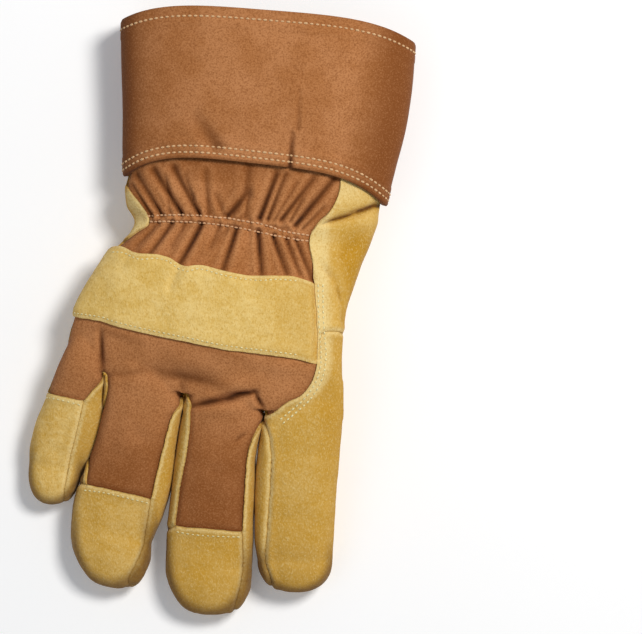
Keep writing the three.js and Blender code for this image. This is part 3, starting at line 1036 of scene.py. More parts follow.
    def _strip(self, crotch: Crotch, at: Array, on: dict[str, Array]) -> Array:
        """Finds the faces of the strip between two fingers.

        Args:
            crotch: The place between the fingers.
            at: Middles of the faces.
            on: Which faces lie on each finger.

        Returns:
            One truth value a face.
        """
        chosen = np.zeros(len(at), bool)
        x, y, z = at.T
        for name, side, root in ((crotch.left, 1, 3), (crotch.right, -1, 1)):
            sections = FINGERS[name].sections
            start = sections.values[1, root] + STRIP_MARGIN
            end = FINGERS[name].tip[1] + STRIP_MARGIN
            low = sections.read(y, np.maximum(sections.values[:, 5], 0) + STRIP_ABOVE_FLOOR)
            low = low + STRIP_TAPER * ramp(-y, -end - STRIP_TAPER_LENGTH, -end)
            on_side = on[name] & (side * (x - sections.middle_x(y)) > 0)
            chosen |= on_side & (z > low) & (y < start) & (y > end)
        low = FINGERS[crotch.right].sections.values[1, 5] + STRIP_ABOVE_FLOOR
        near = np.abs(at[:, :2] - np.array(crotch.at)).max(axis=1) < CROTCH_REACH
        return chosen | (near & (z > low) & (z < crotch.web_top))

    def _seams(self) -> Array:
        """Which inner edges have different panels on their two sides."""
        return self.labels[self.links.faces[:, 0]] != self.labels[self.links.faces[:, 1]]

    def _islands(self) -> Array:
        """Finds the connected patches of faces with the same panel.

        Returns:
            One patch number a face.
        """
        inner = self.links.faces[~self._seams()]
        group = np.arange(len(self.faces))
        before = None
        while before is None or not np.array_equal(before, group):
            before = group.copy()
            least = np.minimum(group[inner[:, 0]], group[inner[:, 1]])
            np.minimum.at(group, inner[:, 0], least)
            np.minimum.at(group, inner[:, 1], least)
            group = group[group]
        return group

    def _tidy_labels(self) -> None:
        """Gives crumbs of a panel to the panel round them."""
        pairs = self.links.faces
        for _ in range(self.crumb_rounds):
            group = self._islands()
            size = np.bincount(group, minlength=len(group))
            largest = np.zeros(len(self.names), int)
            np.maximum.at(largest, self.labels, size[group])
            crumb = size[group] < largest[self.labels]
            if not crumb.any():
                return
            for _ in range(self.crumb_steps):
                left = crumb[pairs[:, 0]] & ~crumb[pairs[:, 1]]
                right = crumb[pairs[:, 1]] & ~crumb[pairs[:, 0]]
                if not (left.any() or right.any()):
                    break
                self.labels[pairs[left, 0]] = self.labels[pairs[left, 1]]
                self.labels[pairs[right, 1]] = self.labels[pairs[right, 0]]
                crumb[pairs[left, 0]] = False
                crumb[pairs[right, 1]] = False

    def displace(self, height: Array) -> None:
        """Moves the skin out along its normals by a height a point, and keeps it above the floor."""
        self.points = above_floor(self.points + self.normals * height[:, None])
        self.normals = vertex_normals(self.points, self.faces)

    def panel(self, name: str) -> Panel:
        """Cuts a panel out of the skin.

        Args:
            name: The panel's name.

        Returns:
            The panel.
        """
        number = self.names.index(name)
        used, faces = cut_out(self.faces[self.labels == number])
        points = self.points[used]
        beyond = np.full(len(self.points), -1)
        for here, there in ((0, 1), (1, 0)):
            mine = self._seams() & (self.labels[self.links.faces[:, here]] == number)
            other = self.labels[self.links.faces[mine, there]]
            beyond[self.links.edges[mine, 0]] = other
            beyond[self.links.edges[mine, 1]] = other
        rim, distance, nearest = from_rim(points, faces)
        return Panel(name, points, faces, self.normals[used], distance, beyond[used][nearest], rim, used)


SMOOTH = {"interpolation_type": "SMOOTHSTEP"}
MIX_COLOURS = {"data_type": "RGBA", "blend_type": "MIX", "clamp_factor": True}
SHEEN_ROUGHNESS = 0.55
SPECULAR_LEVEL = 0.18


class Wrap:
    """A node socket whose arithmetic adds Math nodes."""

    def __init__(self, maker: "Shader", socket: NodeSocket) -> None:
        """Keeps the socket and what makes its nodes."""
        self.maker = maker
        self.socket = socket

    def _do(self, operation: str, first: "Wrap | float", second: "Wrap | float" = 0.0) -> "Wrap":
        """Adds one Math node."""
        made = self.maker.node("ShaderNodeMath", {"operation": operation}, {0: first, 1: second})
        return Wrap(self.maker, made[0])

    def __add__(self, other: "Wrap | float") -> "Wrap":
        """The sum."""
        return self._do("ADD", self, other)

    __radd__ = __add__

    def __sub__(self, other: "Wrap | float") -> "Wrap":
        """The difference."""
        return self._do("SUBTRACT", self, other)

    def __rsub__(self, other: float) -> "Wrap":
        """A number less this value."""
        return self._do("SUBTRACT", other, self)

    def __mul__(self, other: "Wrap | float") -> "Wrap":
        """The product."""
        return self._do("MULTIPLY", self, other)

    __rmul__ = __mul__

    def sine(self) -> "Wrap":
        """The sine of a value in radians."""
        return self._do("SINE", self)

    def step(self, low: float, high: float) -> "Wrap":
        """0 below low, 1 above high, smooth between them."""
        inputs = {"Value": self, "From Min": low, "From Max": high}
        return Wrap(self.maker, self.maker.node("ShaderNodeMapRange", SMOOTH, inputs)[0])


def set_inputs(tree: NodeTree, node: Node, inputs: Inputs) -> None:
    """Links a node's inputs to sockets, or sets their values.

    Args:
        tree: The tree that the node is in.
        node: The node.
        inputs: Values, sockets or wrapped sockets for its inputs.
    """
    for name, value in inputs.items():
        value = value.socket if isinstance(value, Wrap) else value
        if isinstance(value, NodeSocket):
            tree.links.new(value, node.inputs[name])
        else:
            node.inputs[name].default_value = value


def add_node(tree: NodeTree, kind: str, settings: Settings, inputs: Inputs) -> NodeOutputs:
    """Adds a node to a tree.

    Args:
        tree: The tree.
        kind: The node's type.
        settings: Properties to set first.
        inputs: Values, sockets or wrapped sockets for its inputs.

    Returns:
        The node's outputs.
    """
    made = tree.nodes.new(kind)
    for name, value in settings.items():
        setattr(made, name, value)
    set_inputs(tree, made, inputs)
    return made.outputs


def linear(colour: Colour) -> tuple[float, float, float, float]:
    """A display colour, 0 to 255, as the linear colour that a shader takes."""
    return (*(((c / 255 + 0.055) / 1.055) ** 2.4 if c > 10 else c / 255 / 12.92 for c in colour), 1.0)


class Shader:
    """Builds the nodes of one material."""

    def __init__(self, name: str) -> None:
        """Starts a material with one principled shader.

        Args:
            name: The material's name.
        """
        self.material = bpy.data.materials.new(name)
        self.material.use_nodes = True
        self.tree = self.material.node_tree
        self.base = self.tree.nodes["Principled BSDF"]
        place = self.node("ShaderNodeTexCoord", {}, {})["Object"]
        to_mm = {0: place, "Scale": 1 / MM}
        self.place = self.node("ShaderNodeVectorMath", {"operation": "SCALE"}, to_mm)[0]

    def node(self, kind: str, settings: Settings, inputs: Inputs) -> NodeOutputs:
        """Adds a node to the material, and returns its outputs."""
        return add_node(self.tree, kind, settings, inputs)

    def stretched(self, x: float, y: float, z: float) -> NodeSocket:
        """The place on the piece, in millimetres, with each axis scaled."""
        inputs = {0: self.place, 1: (x, y, z)}
        return self.node("ShaderNodeVectorMath", {"operation": "MULTIPLY"}, inputs)[0]

    def axis(self, name: str) -> Wrap:
        """One coordinate of the place, in millimetres."""
        return Wrap(self, self.node("ShaderNodeSeparateXYZ", {}, {0: self.place})[name])

    def grain(self, place: NodeSocket, scale: float, detail: float = 3, rough: float = 0.55) -> Wrap:
        """Fractal noise from 0 to 1."""
        inputs = {"Vector": place, "Scale": scale, "Detail": detail, "Roughness": rough}
        return Wrap(self, self.node("ShaderNodeTexNoise", {}, inputs)["Fac"])

    def attribute(self, name: str) -> Wrap:
        """A value that the mesh carries."""
        return Wrap(self, self.node("ShaderNodeAttribute", {"attribute_name": name}, {})["Fac"])

    def blend(self, share: Wrap, first: object, second: object) -> NodeSocket:
        """One colour mixed with another."""
        return self.node("ShaderNodeMix", MIX_COLOURS, {0: share, 6: first, 7: second})[2]

    def bump(self, height: Wrap, distance: float, strength: float) -> NodeSocket:
        """A normal tilted by a height."""
        inputs = {"Height": height, "Distance": distance * MM, "Strength": strength}
        return self.node("ShaderNodeBump", {}, inputs)[0]

    def finish(self, colour: object, roughness: object, normal: object, sheen: float) -> Material:
        """Joins the finish to the principled shader.

        Args:
            colour: Base colour.
            roughness: Roughness.
            normal: Normal.
            sheen: Weight of the soft sheen of nap.

        Returns:
            The material.
        """
        values = {
            "Base Color": colour,
            "Roughness": roughness,
            "Normal": normal,
            "Sheen Weight": sheen,
            "Sheen Roughness": SHEEN_ROUGHNESS,
            "Specular IOR Level": SPECULAR_LEVEL,
        }
        set_inputs(self.tree, self.base, values)
        return self.material


@dataclass(frozen=True)
class SplitLeather:
    """Napped split leather: pale where the nap is raised and where a highlight is painted on upward faces,
    deep in random specks and where shade is painted, and brown at the rubbed fingertips and, as painted
    shade, in creases and between the fingers.
    """

    name: str
    light: Colour = (236, 202, 126)
    middle: Colour = (216, 173, 82)
    deep: Colour = (188, 138, 32)
    brushed_and_lit: Colour = (240, 217, 154)
    worn_and_shaded: Colour = (94, 54, 16)

    def material(self) -> Material:
        """Builds the finish.

        Returns:
            The material.
        """
        s = Shader(self.name)
        cloudy = s.grain(s.place, 0.05, 3)
        mottle = s.grain(s.place, 0.35, 4, 0.6)
        nap = s.grain(s.place, 1.0, 3, 0.7)
        fibre = s.grain(s.stretched(1.0, 0.4, 1.0), 1.9, 2, 0.6)
        shift = cloudy * 0.5 + mottle * 0.5
        colour = s.blend(shift.step(0.36, 0.64), linear(self.middle), linear(self.light))
        # Painted shade, over some tone of the panels: the deep colour where the shade attribute is high.
        colour = s.blend(s.attribute("shade") * (0.75 + mottle * 0.5), colour, linear(self.deep))
        # Raised nap and a painted highlight: the pale colour where the pale attribute is high.
        colour = s.blend(s.attribute("pale") * (0.6 + nap * 0.7), colour, linear(self.brushed_and_lit))
        speck = nap * 0.5 + fibre * 0.5
        colour = s.blend(speck.step(0.48, 0.68) * 0.4, colour, linear(self.brushed_and_lit))
        colour = s.blend((1 - speck).step(0.48, 0.68) * 0.5, colour, linear(self.deep))
        # Rubbed fingertips, and painted shade in creases and between the fingers: the brown colour.
        colour = s.blend(s.attribute("wear") * (0.65 + mottle * 0.6), colour, linear(self.worn_and_shaded))
        height = mottle * 0.9 + nap * 0.7 + fibre * 0.5
        return s.finish(colour, 0.84 + nap * 0.14, s.bump(height, 0.5, 0.65), 0.08)


@dataclass(frozen=True)
class Canvas:
    """Woven cotton canvas, brown, with slubs, painted shade in its creases, at its seams and on steep sides,
    and painted highlights on its ridges.
    """

    name: str
    light: Colour = (188, 125, 76)
    middle: Colour = (171, 109, 60)
    deep: Colour = (126, 70, 26)
    brushed_and_lit: Colour = (206, 147, 98)
    worn_and_shaded: Colour = (80, 42, 14)
    thread: float = 0.62

    def material(self) -> Material:
        """Builds the finish.

        Returns:
            The material.
        """
        s = Shader(self.name)
        turn = 2 * math.pi / self.thread
        wobble = s.grain(s.place, 0.35, 2) * 2.2
        weave = (s.axis("X") * turn + wobble).sine() * (s.axis("Y") * turn + wobble).sine() * 0.5 + 0.5
        along = s.grain(s.stretched(0.4, 1.3, 1.0), 1.2, 2)
        across = s.grain(s.stretched(1.3, 0.4, 1.0), 1.2, 2)
        slub = along * 0.5 + across * 0.5
        cloudy = s.grain(s.place, 0.06, 4)
        speck = s.grain(s.place, 1.3, 3, 0.75)
        colour = s.blend(cloudy.step(0.36, 0.64), linear(self.middle), linear(self.light))
        # Painted shade: the deep colour where the shade attribute is high.
        colour = s.blend(s.attribute("shade") * (0.8 + speck * 0.4), colour, linear(self.deep))
        # Painted highlight: the pale colour on ridges and over the knuckles.
        colour = s.blend(s.attribute("pale"), colour, linear(self.brushed_and_lit))
        colour = s.blend((1 - slub).step(0.5, 0.64) * 0.3, colour, linear(self.deep))
        colour = s.blend((1 - speck).step(0.46, 0.66) * 0.55, colour, linear(self.deep))
        colour = s.blend(speck.step(0.5, 0.66) * 0.3, colour, linear(self.brushed_and_lit))
        # Painted shade: the dark brown colour in deep creases, in dents, at the seams and at the cuff's sides
        # and hems.
        colour = s.blend(s.attribute("wear"), colour, linear(self.worn_and_shaded))
        height = weave * 0.35 + slub * 0.4 + speck * 0.5
        return s.finish(colour, 0.88 + slub * 0.1, s.bump(height, 0.25, 0.7), 0.04)


@dataclass(frozen=True)
class Thread:
    """Spun sewing thread, with painted shade between its plies."""

    name: str
    colour: Colour
    # Share of the colour that the painted shade between the plies keeps.
    between: float = 0.78

    def material(self) -> Material:
        """Builds the finish.

        Returns:
            The material.
        """
        s = Shader(self.name)
        ply = s.grain(s.place, 3.0, 2)
        dark = tuple(int(c * self.between) for c in self.colour)
        colour = s.blend(ply.step(0.35, 0.65), linear(dark), linear(self.colour))
        return s.finish(colour, 0.7 + ply * 0.2, s.bump(ply, 0.12, 0.6), 0.1)


@dataclass(frozen=True)
class Tones:
    """How much of the deep colour, mostly painted shade, the brown colour, rubbing and painted shade, and the
    pale colour, raised nap and painted highlight, each point of a piece has.
    """

    shade: Array
    wear: Array
    pale: Array

    @classmethod
    def even(cls, count: int, shade: float = 0.0, wear: float = 0.0) -> "Tones":
        """The same tones at each of a number of points."""
        return cls(np.full(count, shade), np.full(count, wear), np.zeros(count))

    def backed(self, inner: "Tones") -> "Tones":
        """These tones followed by those of the inner side."""
        pairs = zip(vars(self).values(), vars(inner).values())
        return Tones(*(np.concatenate(pair) for pair in pairs))

    def write(self, mesh: Mesh) -> None:
        """Stores the tones in a mesh, for its finish to read.

        Args:
            mesh: The mesh.
        """
        for key, values in vars(self).items():
            stored = mesh.attributes.new(key, "FLOAT", "POINT")
            stored.data.foreach_set("value", np.clip(values, 0, 1).astype(np.float32))


@dataclass(frozen=True)
class Patch:
    """A soft patch of a tone: its panel, the plan position of its middle, its reach and its strength."""

    panel: str
    middle: Point
    reach: Point
    strength: float

    def on(self, x: Array, y: Array) -> Array:
        """How strong the patch is at plan positions."""
        across, along = bell(x - self.middle[0], self.reach[0]), bell(y - self.middle[1], self.reach[1])
        return self.strength * across * along


# Soft patches of painted shade where the leather and the cloth lie in shadow, and a pale patch on the palm's
# edge, partly raised nap and partly a painted highlight.
SHADE_PATCHES = (
    Patch("palm", (62, 25), (10, 13), 1.0),
    Patch("palm", (59.5, 2), (4, 16), 0.6),
    Patch("index_back", (50, -45), (7, 25), 0.3),
    Patch("back_upper", (6, 54), (8, 12), 0.25),
)
PALE_PATCH = Patch("palm", (56, 55), (8, 7), 0.65)


def dressed(name: str, points: Array, faces: list[Face], tones: Tones, finish: Material) -> Object:
    """An object with its finish and the tones that the finish reads.

    Args:
        name: Name of the piece.
        points: Points in millimetres.
        faces: Faces.
        tones: Tones of the points.
        finish: Material.

    Returns:
        The object.
    """
    mesh = new_mesh(name, points, faces)
    tones.write(mesh)
    mesh.materials.append(finish)
    mesh.shade_smooth()
    mesh.set_sharp_from_angle(angle=SHARP_ANGLE)
    return new_object(name, mesh)


def with_thickness(points: Array, faces: Array, normals: Array, wall: float) -> tuple[Array, list[Face]]:
    """Backs an open surface with its inner side, and closes the rim between them.

    Args:
        points: Outer points.
        faces: Outer quads.
        normals: Outward normals.
        wall: Thickness in millimetres.

    Returns:
        All the points, outer ones first, and all the faces.
    """
    count = len(points)
    pressed = PRESSED_WALL * wall
    inner = above_floor(points - normals * wall, np.minimum(points[:, 2] + pressed, pressed))
    directed = np.stack([faces, np.roll(faces, -1, axis=1)], axis=2).reshape(-1, 2)
    key = directed[:, 0].astype(np.int64) * count + directed[:, 1]
    back = directed[:, 1].astype(np.int64) * count + directed[:, 0]
    rim = directed[~np.isin(key, back)]
    sides = np.stack([rim[:, 1], rim[:, 0], rim[:, 0] + count, rim[:, 1] + count], axis=1)
    every = np.concatenate([faces, faces[:, ::-1] + count, sides])
    return np.concatenate([points, inner]), [tuple(face) for face in every.tolist()]


@dataclass
class Shell:
    """The sewn body of the glove: every panel that is cut from the skin.

    Lengths are millimetres. A pair is where a smooth step begins and ends, unless its name says more.
    A mark is how wide the painted shade of a fold or gather is beside its own width, and full is the depth at
    which that painted shade is whole; the ridge beside a gather gets a painted highlight.
    """

    leather_wall: float = 1.7
    canvas_wall: float = 1.3
    inner_shade: float = 0.35
    uneven_height_size_seed: tuple[Triple, ...] = ((0.45, 17, 3.1), (0.2, 6.5, 11.7))
    facing_up: Pair = (0.05, 0.45)
    facing_down: Pair = (0.2, 0.6)
    fold_ends: Pair = (0.12, 0.76)
    marked_fold: float = 0.5
    fold_mark: float = 0.6
    fold_full: float = 2
    gather_width: Pair = (1.15, -0.3)
    gather_depth: Pair = (0.65, 0.45)
    furrow_power: float = 1.3
    ridge_offset: float = 2.4
    ridge_share: float = 0.4
    ridge_width: float = 1.2
    gather_mark: float = 0.8
    furrow_full: float = 1.6
    ridge_full: float = 2.4
    elastic_x: tuple[float, float, float, float] = (-35, -31, 37, 40)
    elastic_pitch: float = 3.4
    elastic_drift: Pair = (1.3, 4.7)
    elastic_ripple: float = 0.32
    elastic_fade: float = 3.0
    elastic_rows: Pair = (0.4, 0.7)
    elastic_ridge: Triple = (0.2, 1.3, 0.9)
    strap_fade: Pair = (-4, 0.5)
    gap_fill: float = 1.2
    gap_edge: float = 4
    gap_root: Pair = (-2, 3.5)
    gap_facing: Pair = (0.25, 0.75)
    seam_depth: float = 0.5
    seam_width: float = 0.9
    seam_puff: float = 0.35
    seam_puff_place: Pair = (2.3, 1.6)
    calm_at_tips: float = 0.25
    calm_reach: Pair = (4, 14)
    lap: float = 0.75
    lap_width: float = 3.2
    lap_edge: Pair = (0.25, 0.45)
    lapped_depth: float = 0.55
    lapped_width: float = 1.6
    inset: float = 0.3
    panel_shade: dict[str, float] = field(
        default_factory=lambda: {
            "index_back": 0.5,
            "tip_middle": 0.6,
            "tip_ring": 0.4,
            "tip_little": 0.1,
            "palm": 0.2,
        }
    )

    def __post_init__(self) -> None:
        """Grows the skin and works its folds into it."""
        self.skin = Skin()
        self.plain = self.skin.points.copy()
        self.plain_normals = self.skin.normals.copy()
        self._fold()

    def _fold(self) -> None:
        """Adds broad unevenness, folds, gathers and the drawn-in line of the elastic."""
        points, up = self.skin.points, self.skin.normals[:, 2]
        plan = points[:, :2]
        height = sum(rise * cloud(points, size, seed) for rise, size, seed in self.uneven_height_size_seed)
        self.base = height.copy()
        self.crease = np.zeros(len(plan))
        self.ridge = np.zeros(len(plan))
        top, under = ramp(up, *self.facing_up), ramp(-up, *self.facing_down)
        for folds, facing in ((FOLDS, top), (PALM_FOLDS, under)):
            for fold in folds:
                height -= facing * self._dent(fold, plan)
        cover = top * BACK_UPPER.covers(np.column_stack([plan, np.full(len(plan), ABOVE_ALL)]))
        bare = cover * ramp(plan[:, 1] - line_y(STRAP_TOP, plan[:, 0]), *self.strap_fade)
        for gathers, runs_down in ((GATHERS_ABOVE, True), (GATHERS_BELOW, False)):
            for gather in gathers:
                height -= self._gathered(gather, plan, runs_down, bare)
        height += cover * self._elastic(plan[:, 0], plan[:, 1])
        self.between = self._between_fingers()
        height += self.gap_fill * self.between
        self.skin.displace(height)

    def _dent(self, fold: Crease, plan: Array) -> Array:
        """Works out one fold, and marks its deep line for painted shade.

        Args:
            fold: Its line.
            plan: Plan positions of the skin.

        Returns:
            How far it draws each point in.
        """
        distance, share = fold.place(plan)
        start, run = self.fold_ends
        ends = np.sin(np.pi * (start + run * share))
        if fold.depth > self.marked_fold:
            mark = fold.depth * ends * bell(distance, fold.width * self.fold_mark)
            self.crease = np.maximum(self.crease, mark / self.fold_full)
        return fold.depth * ends * bell(distance, fold.width)

    def _gathered(self, gather: Crease, plan: Array, runs_down: bool, bare: Array) -> Array:
        """Works out one gather: a furrow, deeper and narrower near the elastic, and the ridge beside it.

        Args:
            gather: Its line.
            plan: Plan positions of the skin.
            runs_down: True where it runs down to the elastic, False where it runs away from it.
            bare: How much of the gather each point gets.

        Returns:
            How far it draws each point in.
        """
        distance, share = gather.place(plan)
        near = share if runs_down else 1 - share
        width = gather.width * (self.gather_width[0] + self.gather_width[1] * near)
        depth = gather.depth * (self.gather_depth[0] + self.gather_depth[1] * near)
        from_ridge = distance - self.ridge_offset * width
        furrow = np.exp(-((distance / width) ** self.furrow_power))
        dent = depth * (furrow - self.ridge_share * bell(from_ridge, self.ridge_width * width))
        # The furrow is marked for painted shade and the ridge for a painted highlight.
        shown = bare * depth
        mark = shown * bell(distance, width * self.gather_mark)
        self.crease = np.maximum(self.crease, mark / self.furrow_full)
        self.ridge = np.maximum(self.ridge, shown * bell(from_ridge, width) / self.ridge_full)
        return bare * dent

    def _elastic(self, x: Array, y: Array) -> Array:
        """Works out the puckers along the two rows of stitches over the elastic.

        Args:
            x: Places across the hand.
            y: Places along the hand.

        Returns:
            One height a place.
        """
        from_upper = y - line_y(ELASTIC_UPPER, x)
        from_lower = y - line_y(ELASTIC_LOWER, x)
        inside = ramp(x, *self.elastic_x[:2]) * (1 - ramp(x, *self.elastic_x[2:]))
        drift, length = self.elastic_drift
        beat = np.sin(2 * np.pi * x / self.elastic_pitch + drift * np.sin(x / length))
        outside = np.maximum(from_upper, 0) + np.maximum(-from_lower, 0)
        depth, width = self.elastic_rows
        rows = bell(from_upper, width) + bell(from_lower, width)
        ridge, place, ridge_width = self.elastic_ridge
        ripple = self.elastic_ripple * beat * bell(outside, self.elastic_fade)
        return inside * (ripple - depth * rows + ridge * bell(from_upper + place, ridge_width))

    def _between_fingers(self) -> Array:
        """Marks the sides where fingers face each other.

        Returns:
            1 there, fading to 0 at the fingers' roots and above and below, one value a point.
        """
        x, y = self.skin.points[:, 0], self.skin.points[:, 1]
        mask = np.zeros(len(x))
        for crotch in CROTCHES:
            left, right = (FINGERS[name].sections.middle_x(y) for name in (crotch.left, crotch.right))
            between = ramp(x, left, left + self.gap_edge) * ramp(-x, -right, self.gap_edge - right)
            mask = np.maximum(mask, between * ramp(crotch.at[1] - y, *self.gap_root))
        return mask * ramp(np.abs(self.skin.normals[:, 0]), *self.gap_facing)

    def _profile(self, panel: Panel, leather: bool) -> Array:
        """Height of a panel's edge above the skin: turned in at a plain seam, raised or lowered at a lap.

        Args:
            panel: The panel.
            leather: True for leather, which puffs beside its seams.

        Returns:
            One height a point.
        """
        edge = panel.edge
        height = -self.seam_depth * bell(edge, self.seam_width)
        if leather:
            place, width = self.seam_puff_place
            height = height + self.seam_puff * bell(edge - place, width)
        tips = np.array([finger.tip for finger in FINGERS.values()])
        from_tip = np.linalg.norm(panel.points[:, None, :2] - tips[None], axis=2).min(axis=1)
        height = height * (self.calm_at_tips + (1 - self.calm_at_tips) * ramp(from_tip, *self.calm_reach))
        if leather:
            depth, width = self.lap_edge
            lapped = self.lap * bell(edge, self.lap_width) - depth * bell(edge, width)
        else:
            lapped = -self.lapped_depth * bell(edge, self.lapped_width)
        differs = np.array([name.startswith("back_") == leather for name in self.skin.names] + [False])
        return np.where(differs[panel.beyond], lapped, height)

    def build(self, name: str, leather: bool, finish: Material) -> Object:
        """Makes one panel.

        Args:
            name: The panel, which is also the solid's name.
            leather: True for leather, False for canvas.
            finish: Material.

        Returns:
            The finished piece.
        """
        panel = self.skin.panel(name)
        wall = self.leather_wall if leather else self.canvas_wall
        outer = panel.points + panel.normals * self._profile(panel, leather)[:, None]
        mean = neighbour_mean(outer, Links(panel.faces).all_edges)
        outer[panel.rim] += self.inset * (mean[panel.rim] - outer[panel.rim])
        outer = above_floor(outer)
        points, faces = with_thickness(outer, panel.faces, panel.normals, wall)
        tones = self._leather_tones(panel) if leather else self._canvas_tones(panel)
        inner = Tones.even(len(outer), self.inner_shade)
        return dressed(name + "_panel", points, faces, tones.backed(inner), finish)

    def _patches(self, panel: Panel) -> Array | float:
        """Adds up the patches of shade on a panel."""
        x, y = panel.points[:, 0], panel.points[:, 1]
        return sum(patch.on(x, y) for patch in SHADE_PATCHES if patch.panel == panel.name)

    def _canvas_tones(self, panel: Panel) -> Tones:
        """Works out the canvas's tones.

        It has painted shade in its creases, at its seams, on steep sides and under the cuff, is deeper
        towards the fingertips, and has painted highlights on its ridges and over the knuckles.

        Args:
            panel: The panel.

        Returns:
            Its tones.
        """
        steep = 1 - np.clip(panel.normals[:, 2], 0, 1)
        x, y = panel.points[:, 0], panel.points[:, 1]
        crease = self.crease[panel.source]
        ridge = np.maximum(self.ridge[panel.source] - crease, 0)
        near = np.exp(-panel.edge / 0.9)
        # Painted shade at the seams, in creases and on steep sides, less on the lit ridges.
        shade = 0.5 * near + 0.8 * crease + 0.5 * steep**2 - 0.3 * ridge + self._patches(panel)
        # Deeper towards the fingertips, and a band of painted shade across the knuckles.
        shade += 0.6 * ramp(-y, 34, 84) + 0.25 * bell(y + 27, 9) * ramp(-x, -8, 18)
        pale = 0.45 * ridge
        if panel.name == "back_upper":
            # Painted shade under the cuff.
            shade += 0.6 * ramp(y, 54, 68)
        else:
            # Painted highlight over the knuckles, on upward faces.
            pale += 0.3 * ramp(y, -62, -40) * (1 - np.clip(crease, 0, 1)) * (1 - steep)
        # Painted shade: the brown colour in deep creases and at the seams.
        return Tones(shade, 0.8 * crease**1.4 + 0.25 * near, pale)

    def _leather_tones(self, panel: Panel) -> Tones:
        """Works out the leather's tones.

        It has painted shade, mustard, in its hollows and on steep sides, is pale along its edges from raised
        nap and a painted highlight on upward faces, has a painted highlight on the welt, and is browned at
        the rubbed fingertips and, as painted shade, in its deep creases and between the fingers.

        Args:
            panel: The panel.

        Returns:
            Its tones.
        """
        steep = 1 - np.clip(panel.normals[:, 2], 0, 1)
        x, y = panel.points[:, 0], panel.points[:, 1]
        crease = self.crease[panel.source]
        near = np.exp(-panel.edge / 0.6)
        facing = panel.up(0.2, 0.7)
        # Painted shade on steep sides, in creases and at the seams, over each panel's own tone.
        shade = 0.3 * steep**1.5 + 0.8 * crease + 0.2 * near + self.panel_shade.get(panel.name, 0.1)
        shade += self._patches(panel)
        # Raised nap along the edges, with a painted highlight where they face up.
        pale = 0.65 * bell(panel.edge - 0.9, 0.8) * panel.up(-0.2, 0.5)
        if panel.name == "palm":
            # Painted shade at the palm's left end under the cuff.
            shade += 0.5 * (1 - ramp(x, -36, -30)) * ramp(y, 38, 46)
            pale = np.maximum(pale * ramp(x, -30, -20), PALE_PATCH.on(x, y) * facing)
        if panel.name in ("palm", "index_back"):
            welt = np.array(WELT)[::-1]
            past_welt = x - np.interp(y, welt[:, 1], welt[:, 0])
            # Painted highlight on the welt's bulge.
            pale = np.maximum(pale, 0.7 * (1 - ramp(past_welt, 4.5, 9)) * ramp(y, -44, -34) * facing)
        if panel.name == "index_back":
            shade += 0.2 * ramp(-y, 85, 112)
        if panel.name.startswith("fourchette"):
            shade += 0.5
            pale = pale * panel.up(0.2, 0.6)
        # Painted shade on steep sides at the seams and between the fingers, in the brown colour.
        wear = 0.2 * near * ramp(steep, 0.2, 0.7) + 0.7 * self.between[panel.source] * ramp(steep, 0.6, 0.95)
        browned = 0.72 * (0.2 + 0.8 * panel.up(-0.85, -0.15))
        own = PALM_FINGERS if panel.name == "palm" else [name for name in FINGERS if name in panel.name]
        for name in own:
            wear = np.maximum(wear, FINGERS[name].rim(panel.points[:, :2]) * browned)
        # Painted shade in the deep creases, in the brown colour.
        return Tones(shade, wear + 1.3 * np.maximum(crease - 0.38, 0), pale * (1 - wear))


